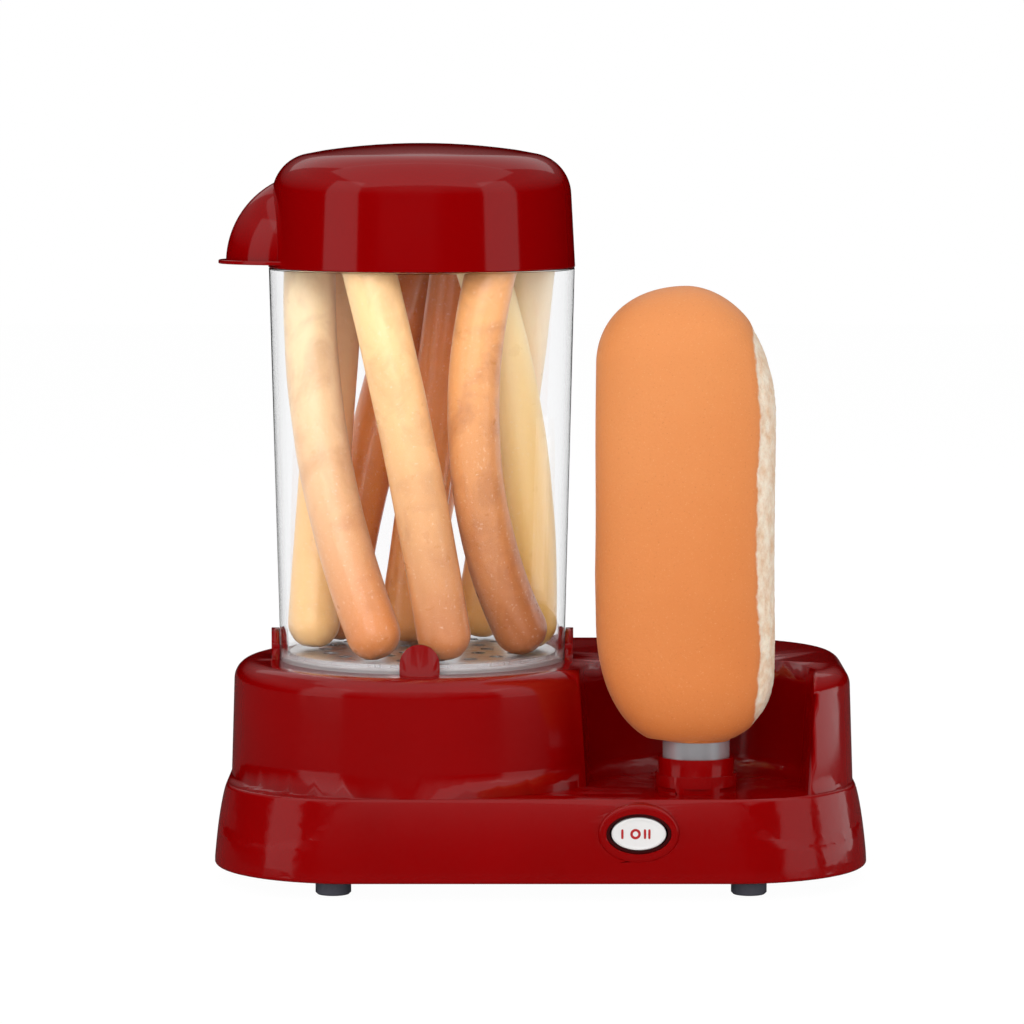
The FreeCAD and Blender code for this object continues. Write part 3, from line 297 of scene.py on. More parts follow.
# Injection-moulded plastic: faint flow clouds in the colour, orange peel and fine dust scuffs.
def mouldedPlastic(name, base, shade, gloss, grain=0.3, shine=0.5):
    material, tree, place = newMaterial(name)
    clouds = noise(tree, place, 24.0, 4.0, 0.55, 0.4)
    tone = mixed(tree, spread(tree, clouds, 0.3, 0.7, 0.0, 1.0), base, shade)
    scuffs = noise(tree, place, 420.0, 5.0, 0.7)
    rough = spread(tree, scuffs, 0.3, 0.75, gloss, gloss + 0.04)
    peel = noise(tree, place, 260.0, 2.0)
    surface(tree, Base_Color=tone, Roughness=rough, Specular_IOR_Level=shine,
            Normal=bump(tree, peel, grain, 0.0001))
    return material


# Bare metal with drawn or turned streaks, noise drawn out by `along`, and faint darker stains.
def metal(name, base, rough, streak, along=(1.0, 1.0, 1.0), pitting=0.05, metallic=0.9, worn=0.12):
    material, tree, place = newMaterial(name)
    lines = noise(tree, drawnOut(tree, place, along), streak, 4.0, 0.6)
    stains = noise(tree, place, 40.0, 4.0, 0.6)
    tone = mixed(tree, spread(tree, stains, 0.35, 0.75, 0.0, 0.16), base,
                 tuple(0.7 * share for share in base[:3]) + (1.0,))
    surface(tree, Base_Color=tone, Metallic=metallic,
            Roughness=spread(tree, lines, 0.3, 0.7, rough, rough + worn),
            Normal=bump(tree, lines, pitting, 0.0002))
    return material


# Matt rubber, silicone or wire jacket: pale dust in patches over a fine grain.
def softRubber(name, base, grain=500.0):
    material, tree, place = newMaterial(name)
    dust = noise(tree, place, 90.0, 5.0, 0.65)
    tone = mixed(tree, spread(tree, dust, 0.45, 0.8, 0.0, 0.35), base, colour(118, 118, 124))
    surface(tree, Base_Color=tone, Roughness=spread(tree, dust, 0.3, 0.7, 0.55, 0.8),
            Normal=bump(tree, noise(tree, place, grain, 3.0), 0.35, 0.0002))
    return material


redPlastic = mouldedPlastic("redPlastic", colour(142, 0, 2), colour(136, 0, 1), 0.11, 0.02, 0.45)
lidPlastic = mouldedPlastic("lidPlastic", colour(140, 0, 2), colour(136, 0, 2), 0.07, 0.02, 0.45)
# Painted shade: the switch frame is the housing's red plastic, darkened here to stand for the shadow in
# its recess.
bezelPaintedShade = mouldedPlastic("bezelPaintedShade", colour(74, 3, 6), colour(60, 2, 4), 0.3, 0.2)
blackPlastic = mouldedPlastic("blackPlastic", colour(38, 38, 40), colour(30, 30, 32), 0.42, 0.5)
keyPlastic = mouldedPlastic("keyPlastic", colour(240, 240, 238), colour(232, 232, 231), 0.22, 0.1)
nylon = mouldedPlastic("nylon", colour(222, 218, 205), colour(212, 208, 194), 0.4, 0.3)
markInk = mouldedPlastic("markInk", colour(196, 38, 42), colour(180, 30, 34), 0.35, 0.2)
footRubber = softRubber("footRubber", colour(100, 100, 112))
silicone = softRubber("silicone", colour(196, 196, 190), 700.0)
wireJacket = softRubber("wireJacket", colour(206, 204, 198), 900.0)
spikeMetal = metal("spikeMetal", colour(206, 206, 210), 0.24, 60.0, (9.0, 9.0, 0.6), 0.002, 0.6, 0.03)
plateSteel = metal("plateSteel", colour(190, 190, 192), 0.24, 90.0, (1.0, 12.0, 1.0))
turnedSteel = metal("turnedSteel", colour(198, 198, 200), 0.2, 300.0, (1.0, 1.0, 4.0))
elementSteel = metal("elementSteel", colour(104, 98, 92), 0.42, 120.0, pitting=0.2)
aluminium = metal("aluminium", colour(206, 207, 210), 0.3, 140.0, (1.0, 6.0, 1.0))
brass = metal("brass", colour(205, 168, 92), 0.28, 160.0)
print("plastics, rubbers and metals made")


# Clear moulded wall: colourless, very smooth, with faint mould waves, and partly opaque white at its foot
# as a painted highlight for the glints of its thick clear foot ring.
def clearWall(name):
    material, tree, place = newMaterial(name)
    flow = noise(tree, drawnOut(tree, place, (1.0, 1.0, 0.12)), 45.0, 2.0, 0.5)
    height = partsOf(tree, place)["Z"]
    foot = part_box("cup")[0].z
    # The lowered transmission at the foot is a painted highlight: the clear foot ring turns partly white
    # over its lowest 8 mm.
    surface(tree, Base_Color=(0.99, 0.992, 0.996, 1.0), IOR=1.25,
            Transmission_Weight=spread(tree, height, foot + 0.002, foot + 0.008, 0.45, 1.0),
            Roughness=spread(tree, noise(tree, place, 300.0, 4.0), 0.4, 0.8, 0.0, 0.035),
            Normal=bump(tree, flow, 0.12, 0.0008))
    return material


clearCup = clearWall("clearCup")


# Base, spike, switch and inside

housing = {
    "core": (0.074, 0.0265),          # half sides of the oblong that the lower tier's corners turn about
    "footReach": 0.056, "topReach": 0.052, "foot": 0.0071, "platform": 0.0396,   # its straight wall
    "edge": 0.00135,                  # its rounded top edge
    "rim": 0.0505, "swell": 0.0055, "most": 0.0558, "straight": 0.35, "power": 1.8, "swellFoot": 0.0084,
    "bossFront": -0.0822, "bossHalf": (0.0158, 0.0118), "bossEdge": 0.0018, "bossRim": 0.2,
    "outside": 0.00006, "inside": 0.0004,      # how far off its wall a point still counts as on it
    "levels": (0.15, 0.4, 0.8, 1.3, 2, 3, 4.5, 6.5, 9, 12, 15.5, 19.5, 24, 28, 31.1),   # mm down
    "bossLevels": (0.2, 0.5, 0.9, 1.4, 1.8),                                            # mm behind
}
housingCuts = [(2, housing["platform"] - 0.001 * level) for level in housing["levels"]]
housingCuts += [(1, housing["bossFront"] + 0.001 * level) for level in housing["bossLevels"]]


# The lower tier's reach beyond its core at a depth under the platform: with s the share of the
# tier's height, rim + swell (k s + (1 - k) (1 - (1 - s)^p)^(1 / p)), and no more than `most`.
def tierReach(down):
    share = np.clip(down / (housing["platform"] - housing["foot"]), 0, 1)
    bulge = (1 - (1 - share) ** housing["power"]) ** (1 / housing["power"])
    straight = housing["straight"]
    return np.minimum(housing["rim"] + housing["swell"] * (straight * share + (1 - straight) * bulge),
                      housing["most"])


# The lower tier's wall swells out from under the drum, and the switch's boss gets a soft edge:
# at depth d behind its face its side lies r - sqrt(r^2 - (r - d)^2) further in, and less so
# towards the middle of its face.
def housingBend(points):
    core = np.array(housing["core"])
    beyond = np.maximum(np.abs(points[:, :2]) - core, 0)
    reach = np.hypot(beyond[:, 0], beyond[:, 1])
    way = np.sign(points[:, :2]) * beyond / np.maximum(reach, hair)[:, None]
    down = housing["platform"] - points[:, 2]
    slope = (housing["footReach"] - housing["topReach"]) / (housing["platform"] - housing["foot"])
    wall = housing["topReach"] + slope * down
    target = tierReach(down)
    near = reach < wall + housing["outside"]
    rounding = near & (down > -weldDistance / 2) & (down < housing["edge"]) \
        & (reach > wall - housing["edge"])
    flank = near & (down >= housing["edge"]) & (points[:, 2] > housing["swellFoot"]) \
        & (reach > wall - housing["inside"])
    fresh = np.where(rounding, np.minimum(reach, target), np.where(flank, reach + target - wall, reach))
    moved = points.copy()
    moved[:, :2] += way * (fresh - reach)[:, None]
    centre = middle("switch_frame")
    half = np.array(housing["bossHalf"])
    aside = moved[:, [0, 2]] - np.array([centre.x, centre.z])
    share = np.hypot(aside[:, 0] / half[0], aside[:, 1] / half[1])
    behind = moved[:, 1] - housing["bossFront"]
    edge = housing["bossEdge"]
    rimFrom = 1 - housing["bossRim"]
    rim = (share > rimFrom) & (share < 1.01) & (behind > -weldDistance / 2) & (behind < edge)
    inward = edge - np.sqrt(edge ** 2 - (edge - np.clip(behind, 0, edge)) ** 2)
    inward *= np.clip((share - rimFrom) / housing["bossRim"], 0, 1)
    outward = aside / half ** 2
    outward /= np.maximum(np.linalg.norm(outward, axis=1), hair)[:, None]
    moved[:, [0, 2]] -= outward * (inward * rim)[:, None]
    onWall = rim & (flank | rounding)
    moved[onWall, 1] = -core[1] - tierReach(housing["platform"] - moved[onWall, 2])
    return moved


smoothCopy("base_housing", redPlastic, 42.0, housingCuts, housingBend)
smoothCopy("spike_collar", redPlastic, 22.0)
# The switch frame takes the dark red of painted recess shade.
smoothNodes = {
    "spike_tube": spikeMetal, "switch_frame": bezelPaintedShade, "bottom_plate": blackPlastic,
    "cord_gland": blackPlastic, "gland_nut": blackPlastic, "heater_dish": plateSteel,
    "dish_gasket": silicone, "rack_plate": plateSteel, "heating_element": elementSteel,
    "base_screws": turnedSteel, "dish_screws": turnedSteel, "spike_screws": turnedSteel,
    "foot_front_left": footRubber, "foot_front_right": footRubber, "foot_rear_left": footRubber,
    "foot_rear_right": footRubber,
}
for node, material in smoothNodes.items():
    smoothCopy(node, material)

plainNodes = {
    "heat_spreader": aluminium, "element_clamp": plateSteel, "thermostat": plateSteel,
    "thermal_fuse": brass, "spike_flange": plateSteel, "spike_heater": elementSteel,
    "switch_body": blackPlastic, "switch_terminals": brass, "terminal_block": nylon,
    "heater_wire": wireJacket, "switch_wire": wireJacket, "spike_wire": wireJacket,
}
for node, material in plainNodes.items():
    nodes[node].data.materials.clear()
    nodes[node].data.materials.append(material)
print("base, spike and inside finished")


# Rocker key

key = {
    "halfWidth": 0.0106, "halfHeight": 0.00635,
    "edge": 0.0009,           # rounding of its rim
    "valley": 0.0005,         # how far the middle of its face lies behind the ends
    "depth": 0.004,
    "markHeight": 0.0038, "markStroke": 0.00092, "markProud": 0.00012, "markRoot": 0.0002,
    "ringRadius": 0.00205,
    "oneAt": -0.0064, "ringAt": -0.0013, "twoAt": 0.0032, "twoSplit": 0.0017,
}
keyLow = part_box("rocker")[0]
keyCentre = np.array([middle("rocker").x, keyLow.y, middle("rocker").z])
keyDepth = key["depth"]
fade = 0.2            # outer share of its face over which the trough runs out


# Depth of the key's face behind its ends: a shallow trough, valley (1 - (x / half width)^2).
def keyFace(across):
    return key["valley"] * (1 - np.clip(across / key["halfWidth"], -1, 1) ** 2)


# Rings of one ellipse from the middle of the face to the rounded rim, the side and the back.
def rockerKey():
    inner = np.linspace(0, 0.9, 24)
    turn = np.linspace(0, math.pi / 2, 9)[1:]
    edge = key["edge"] / key["halfHeight"]
    share = np.concatenate([inner, 1 - edge + edge * np.sin(turn), [1.0, 0.0]])
    depth = np.concatenate([0 * inner, key["edge"] * (1 - np.cos(turn)), [keyDepth, keyDepth]])
    angle = np.linspace(0, 2 * math.pi, 129)
    across = share[:, None] * key["halfWidth"] * np.cos(angle)
    up = share[:, None] * key["halfHeight"] * np.sin(angle)
    trough = keyFace(across) * (depth < keyDepth)[:, None] * np.clip((1 - share) / fade, 0, 1)[:, None]
    grid = np.stack([keyCentre[0] + across, keyCentre[1] + depth[:, None] + trough,
                     keyCentre[2] + up], axis=-1)
    piece = gridPiece("rockerKey", grid, keyPlastic, "rocker", 50.0)
    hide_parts("rocker")


# The trough at any place on the face, running out towards the rim.
def keyTrough(across, up):
    share = np.sqrt((across / key["halfWidth"]) ** 2 + (up / key["halfHeight"]) ** 2)
    return keyFace(across) * np.clip((1 - share) / fade, 0, 1)


# A raised mark from its middle line and the offsets of its outline: rings from under the key's
# face over a slightly narrower top, closed along the middle line.
def keyMark(name, outline):
    heights = np.array([key["markRoot"], -key["markProud"] * 0.7, -key["markProud"]])
    rings = []
    for height, scale in zip(heights, (1.0, 1.0, 0.86)):
        across = outline[0] + scale * outline[2]
        up = outline[1] + scale * outline[3]
        rings.append(np.stack([keyCentre[0] + across, keyCentre[1] + keyTrough(across, up) + height,
                               keyCentre[2] + up], axis=-1))
    level = keyCentre[1] + keyTrough(outline[0], outline[1]) + heights[2]
    core = np.stack([keyCentre[0] + outline[0], level, keyCentre[2] + outline[1]], axis=-1)
    floor = core + np.array([0, key["markRoot"] + key["markProud"], 0])
    gridPiece(name, np.stack([floor] + rings + [core]), markInk, "rocker", 60.0)


# A bar's middle line and outline: straight sides with half circles of the stroke at both ends.
def barOutline(across):
    turn = np.linspace(0, 2 * math.pi, 33)
    reach = key["markHeight"] / 2 - key["markStroke"] / 2
    centreUp = reach * np.clip(np.sin(turn) * 3, -1, 1)
    return (across + 0 * turn, centreUp, key["markStroke"] / 2 * np.cos(turn),
            key["markStroke"] / 2 * np.sin(turn))


# The O: a flat torus, point = middle + (R + s cos b)(cos a, sin a), and proud by p sin b.
def ringMark():
    turn = np.linspace(0, 2 * math.pi, 49)
    around = np.linspace(0, 2 * math.pi, 13)
    stroke = key["markStroke"] / 2 * 1.1
    radius = key["ringRadius"] - stroke + stroke * np.cos(around)
    across = key["ringAt"] + radius[:, None] * np.cos(turn)
    up = radius[:, None] * np.sin(turn)
    depth = keyTrough(across, up) - key["markProud"] * np.sin(around)[:, None]
    grid = np.stack([keyCentre[0] + across, keyCentre[1] + depth, keyCentre[2] + up], axis=-1)
    gridPiece("keyMarkO", grid, markInk, "rocker", 60.0)


rockerKey()
keyMark("keyMarkI", barOutline(key["oneAt"]))
keyMark("keyMarkII_left", barOutline(key["twoAt"] - key["twoSplit"] / 2))
keyMark("keyMarkII_right", barOutline(key["twoAt"] + key["twoSplit"] / 2))
ringMark()
print("rocker key made")


# Cup

cup = {
    "wall": 0.0022, "floor": 0.0036, "opening": 0.044, "rimRound": 0.0003, "footRound": 0.0012,
    "lipHeight": 0.005, "lipRadius": 0.0588, "lipWall": 0.0016,   # ring on the rim, inside the lid
    "lipFoot": 0.0005, "height": 0.16, "taper": 0.0041,
}
cupLow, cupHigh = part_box("cup")
cupX = middle("cup").x
cupHeight = cup["height"]
cupRim = (cupHigh.x - cupLow.x) / 2
cupFoot = cupRim - cup["taper"]


# The cup turned from its wall's outline: a leaning wall on a floor ring with a wide hole.
def clearCupWall():
    wall, floor = cup["wall"], cup["floor"]
    lean = (cupRim - cupFoot) / cupHeight
    rim, foot = cup["rimRound"], cup["footRound"]
    lip, bore = cup["lipRadius"], cup["lipRadius"] - cup["lipWall"]
    collar = cupHeight - cup["lipFoot"]
    corners = [(cup["opening"], floor / 2, 0), (cup["opening"], 0, rim), (cupFoot, 0, foot),
               (cupRim, cupHeight, rim), (lip, cupHeight, 0), (lip, cupHeight + cup["lipHeight"], rim),
               (bore, cupHeight + cup["lipHeight"], rim), (bore, cupHeight + cup["lipFoot"], 0.0004),
               (cupFoot - wall + lean * collar, collar, 0.0004),
               (cupFoot - wall + lean * floor, floor, foot),
               (cup["opening"], floor, rim), (cup["opening"], floor / 2, 0)]
    grid = turned(rounded(corners, 6), (cupX, 0, cupLow.z), 256)
    piece = gridPiece("cupWall", grid, clearCup, "cup", 50.0)
    piece.visible_shadow = False          # a clear wall dims nothing behind it
    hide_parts("cup")


clearCupWall()
print("cup made")


# Lid

lid = {
    "lean": 0.0023, "side": 0.0494, "crown": 0.0072, "shoulder": 0.017, "wall": 0.002, "edge": 0.0004,
    "beakRadius": 0.0365, "beakHalfWidth": 0.025, "beakReach": 0.0784, "beakRise": 0.0014,
    "lip": 0.003, "lipHeight": 0.0016,
}
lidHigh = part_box("lid")[1]
lidRadius = lidHigh.x - cupX
lidZ = lidHigh.z - lid["side"]
crownRadius = (lidRadius ** 2 + lid["crown"] ** 2) / (2 * lid["crown"])


# How far a crown of that large radius has dropped at a distance from its middle.
def crownDrop(radius):
    return crownRadius - math.sqrt(crownRadius ** 2 - radius ** 2)


# Turned cap: crowned top, round shoulder and leaning side, with the same form inside.
def lidCap():
    side, wall = lid["side"], lid["wall"]
    top = lidRadius - lid["lean"]
    innerRound = lid["shoulder"] - wall
    crownSteps = (0.0, 0.006, 0.012, 0.018, 0.024, 0.03, 0.035, 0.0385)
    corners = [(radius, side - crownDrop(radius), 0) for radius in crownSteps]
    corners += [(top, side - crownDrop(top), lid["shoulder"]), (lidRadius, 0.0, lid["edge"]),
                (lidRadius - wall, 0.0, lid["edge"]),
                (top - wall, side - wall - crownDrop(top), innerRound)]
    corners += [(radius, side - wall - crownDrop(radius), 0) for radius in crownSteps[::-1]]
    grid = turned(rounded(corners, 20), (cupX, 0, lidZ), 256)
    piece = gridPiece("lidCap", grid, lidPlastic, "lid", 40.0)
    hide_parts("lid")


beakX = cupX - lid["beakReach"] + lid["beakRadius"]
beakZ = lidZ + lid["beakRise"]


# Half the angle over which an ellipse stays outside the cap: the cosine c solves
# (d + a c)^2 + b^2 (1 - c^2) = R^2, d the ellipse's middle from the cap's axis.
def beakSpan(acrossRadius, sideRadius, height):
    offset = cupX - beakX
    reach = lidRadius - lid["lean"] * height / lid["side"] - lid["wall"] / 2
    square = acrossRadius ** 2 - sideRadius ** 2
    linear = 2 * offset * acrossRadius
    rest = offset ** 2 + sideRadius ** 2 - reach ** 2
    cosine = (-linear + np.sqrt(linear ** 2 - 4 * square * rest)) / (2 * square)
    return np.arccos(np.clip(cosine, -1, 1))


# The hood: a quarter of an ellipsoid, point = middle + (-a cos e cos b, w cos e sin b,
# a sin e), from its foot up to where it meets the cap. The lip under it is a flat band.
def lidBeak():
    radius, half = lid["beakRadius"], lid["beakHalfWidth"]
    offset = cupX - beakX
    reach = lidRadius - lid["lean"] * 0.6 - lid["wall"] / 2
    steepest = math.acos((reach - offset) / radius)
    rise = np.linspace(0, steepest * 0.999, 40)[:, None]
    flat = np.cos(rise)
    span = beakSpan(radius * flat, half * flat, radius * np.sin(rise))
    turn = np.linspace(-1, 1, 65)[None, :] * span
    grid = np.stack([beakX - radius * flat * np.cos(turn), half * flat * np.sin(turn),
                     beakZ + radius * np.sin(rise) + 0 * turn], axis=-1)
    hood = gridPiece("lidBeak", grid[:, ::-1], lidPlastic, "lid", 60.0, None, True)
    thicken = hood.modifiers.new("shell", "SOLIDIFY")
    thicken.thickness = lid["wall"]
    thicken.offset = -1.0
    outer, inner = lid["lip"], -lid["wall"]
    low, high, edge = 0.0, lid["lipHeight"], lid["edge"]
    band = rounded([((outer + inner) / 2, low, 0), (outer, low, edge), (outer, high, edge * 1.4),
                    (inner, high, edge), (inner, low, edge), ((outer + inner) / 2, low, 0)], 4)
    grow = band[:, :1]
    level = band[:, 1:]
    span = beakSpan(radius + grow, half + grow, level)
    turn = np.linspace(-1, 1, 97)[None, :] * span
    grid = np.stack([beakX - (radius + grow) * np.cos(turn), (half + grow) * np.sin(turn),
                     beakZ + level + 0 * turn], axis=-1)
    lip = gridPiece("lidLip", grid, lidPlastic, "lid", 45.0)


lidCap()
lidBeak()
print("lid made")


# Sausages

sausage = {
    "radius": 0.0108, "length": 0.172, "gap": 0.0005, "rows": 110, "capRows": 17,
    "lump": 0.012, "pucker": 0.0006, "folds": 9, "slack": 0.0001,
}
# each as (angle, share of the room) of its foot, waist and head, then the taper of its head,
# its colours at the foot and at the head, and how far its skin is browned
sausageRows = [
    ((-25, 1.00), (-66, 0.95), (-90, 0.98), 0.97, (206, 128, 70), (253, 224, 178), 0.5),
    ((12, 1.00), (-6, 0.96), (-29, 0.98), 0.97, (190, 118, 68), (250, 204, 144), 0.5),
    ((62, 1.00), (29, 0.95), (42, 0.98), 0.9, (178, 108, 64), (234, 166, 102), 0.7),
    ((91, 1.00), (84, 0.86), (62, 0.53), 0.95, (250, 204, 116), (252, 230, 176), 0.1),
    ((147, 1.00), (124, 0.94), (96, 0.98), 0.95, (246, 184, 100), (253, 236, 204), 0.1),
    ((188, 1.00), (169, 0.92), (146, 0.98), 0.96, (242, 166, 84), (228, 140, 74), 0.6),
    ((234, 1.00), (207, 0.93), (176, 0.98), 0.96, (238, 156, 74), (216, 122, 56), 0.7),
    ((270, 1.00), (248, 0.92), (228, 0.98), 0.96, (248, 198, 130), (250, 206, 152), 0.3),
    ((200, 0.46), (168, 0.42), (135, 0.46), 0.96, (234, 154, 78), (212, 118, 56), 0.7),
]
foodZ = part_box("sausage_01")[0].z


# A point of a middle line: the room is the cup's inside less the sausage, and widens upwards.
def sausagePoint(place, height):
    angle, share = place
    room = cupFoot - cup["wall"] - sausage["radius"] - sausage["gap"]
    room += (cupRim - cupFoot) * min(height / cupHeight, 0.5)
    turn = math.radians(angle)
    return np.array([cupX + room * share * math.sin(turn), -room * share * math.cos(turn), foodZ + height])


# Points and tangents of the circle through three points: its middle is where the planes
# halfway between the points cross in the plane of all three.
def arcThrough(foot, waist, head, count):
    toWaist, toHead = waist - foot, head - foot
    normal = np.cross(toWaist, toHead)
    centre = foot + np.cross(toWaist @ toWaist * toHead - toHead @ toHead * toWaist, normal) \
        / (2 * normal @ normal)
    start = foot - centre
    radius = np.linalg.norm(start)
    first = start / radius
    normal /= np.linalg.norm(normal)
    second = np.cross(normal, first)
    end = head - centre
    sweep = math.atan2(end @ second, end @ first) % (2 * math.pi)
    angle = np.linspace(0, sweep, count)[:, None]
    return (centre + radius * (np.cos(angle) * first + np.sin(angle) * second),
            -np.sin(angle) * first + np.cos(angle) * second, normal)


# A tube along its arc with round ends: ring = middle + r (n cos a + m sin a). Near each end
# r follows a quarter of a circle, and folds pucker the tied tips, which are drawn in a little.
def sausageSkin(number, row):
    foot, waist, head, taper, footShade, headShade, brown = row
    radius, length = sausage["radius"], sausage["length"]
    ends = [sausagePoint(place, height) for place, height in
            zip((foot, waist, head), (radius, length / 2, length - radius))]
    spine, along, normal = arcThrough(*ends, sausage["rows"])
    caps = sausage["capRows"]
    capTurn = np.linspace(math.pi / 2, 0, caps + 1)[:-1]
    capRise = np.sin(capTurn)[:, None] * radius
    lower = spine[0] - along[0] * capRise
    upper = spine[-1] + along[-1] * capRise[::-1]
    line = np.concatenate([lower, spine, upper])
    ways = np.concatenate([np.repeat(along[:1], caps, 0), along, np.repeat(along[-1:], caps, 0)])
    width = np.concatenate([np.cos(capTurn), np.ones(len(spine)), np.cos(capTurn)[::-1]])
    run = np.linspace(0, 1, len(line))
    slim = 1 - (1 - taper) * run ** 1.5
    angle = np.linspace(0, 2 * math.pi, 57)
    sideWay = np.cross(ways, normal)
    x, y = np.cos(angle)[None, :], np.sin(angle)[None, :]
    down = run[:, None]
    lumps = waves(40 + number, 9, 3.0, 9.0, 6 * down + 0 * x, x + 0 * down, y + 0 * down)
    tip = np.exp(-((width / 0.42) ** 2))[:, None]
    fold = sausage["pucker"] * tip * width[:, None] * (1 + np.cos(sausage["folds"] * angle + number))
    ring = width[:, None] * (radius - sausage["slack"]) * slim[:, None] \
        * (1 - sausage["lump"] * (1 + lumps) / 2 * width[:, None]) - fold
    dent = ways * (np.exp(-((width / 0.25) ** 2)) * 0.0012 * np.sign(0.5 - run))[:, None]
    around = x[:, :, None] * normal + y[:, :, None] * sideWay[:, None, :]
    grid = (line + dent)[:, None, :] + ring[:, :, None] * around
    skin = sausageMaterial("sausageSkin%d" % number, colour(*footShade), colour(*headShade), brown,
                           number)
    piece = gridPiece("sausageSkin_%02d" % number, grid, skin, "rack", 70.0)
    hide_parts("sausage_%02d" % number)


# Moist skin: colour along the length, browned patches, pores and fine lengthwise wrinkles.
def sausageMaterial(name, footShade, headShade, brown, seed):
    material, tree, place = newMaterial(name)
    run = partsOf(tree, addNode(tree, "ShaderNodeUVMap", uv_map="surface").outputs["UV"])["Y"]
    shifted = addNode(tree, "ShaderNodeMapping",
                      {"Vector": place, "Location": (seed * 0.37, 0, 0)}).outputs["Vector"]
    clouds = noise(tree, shifted, 55.0, 5.0, 0.6, 0.8)
    along = mixed(tree, spread(tree, run, 0.12, 0.75, 0.0, 1.0), footShade, headShade)
    burnt = tuple(share * tint for share, tint in zip(footShade[:3], (0.62, 0.44, 0.32))) + (1.0,)
    patches = spread(tree, clouds, 0.46, 0.78, 0.0, 0.75 * brown)
    tone = mixed(tree, patches, along, burnt)
    tipEnd = spread(tree, run, 0.0, 0.1, 0.55 * brown + 0.12, 0.0)
    tone = mixed(tree, tipEnd, tone, burnt)
    pores = noise(tree, shifted, 900.0, 2.0, 0.6)
    speckle = spread(tree, pores, 0.62, 0.72, 0.0, 0.22)
    tone = mixed(tree, speckle, tone, colour(255, 244, 226))
    wrinkles = noise(tree, drawnOut(tree, shifted, (1.0, 1.0, 0.22)), 420.0, 4.0, 0.6)
    rough = spread(tree, noise(tree, shifted, 160.0, 4.0), 0.3, 0.7, 0.26, 0.46)
    surface(tree, Base_Color=tone, Roughness=rough, Subsurface_Weight=0.06,
            Subsurface_Radius=(0.004, 0.0018, 0.0009), Subsurface_Scale=1.0,
            Coat_Weight=0.25, Coat_Roughness=0.18,
            Normal=bump(tree, pores, 0.16, 0.0003, bump(tree, wrinkles, 0.22, 0.0006)))
    return material


for number, row in enumerate(sausageRows, start=1):
    sausageSkin(number, row)
print("sausages made")


# Bun

bun = {
    "halfWidth": 0.0359, "halfDepth": 0.0259, "squareness": 2.35,
    "leftTop": 0.031, "rightTop": 0.05, "depthTop": 0.03,         # how far down each side rounds off
    "leftFoot": 0.05, "rightFoot": 0.031, "depthFoot": 0.03,
    "footCut": 0.003,             # what is missing of its foot, where the spike goes in
    "boreRadius": 0.0135, "boreTop": 0.1849,
    "tearAt": (0.1, 0.16, 0.3, 0.4, 0.7, 0.8, 0.92),               # shares of the way down
    "tearFrom": (0.026, 0.0266, 0.0288, 0.0274, 0.0278, 0.0292, 0.027),   # where the crust ends there
    "tearWander": 0.0002, "tearDepth": 0.0007, "tearGrain": 0.00022, "tearSoft": 0.0028,
    "tearTop": 0.012, "dents": 0.0004, "slack": 0.0002, "closing": 0.0012,
}
bunLow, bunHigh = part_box("bun")
bunX = middle("bun").x
bunY = middle("bun").y
spikeX = middle("spike_tube").x


# 1 along the loaf, and (1 - s^p)^(1 / p) over the last `cap`, where s goes from 0 to 1.
def capped(distance, cap, power):
    share = np.clip(1 - distance / cap, 0, 1)
    return (1 - share ** power) ** (1 / power)


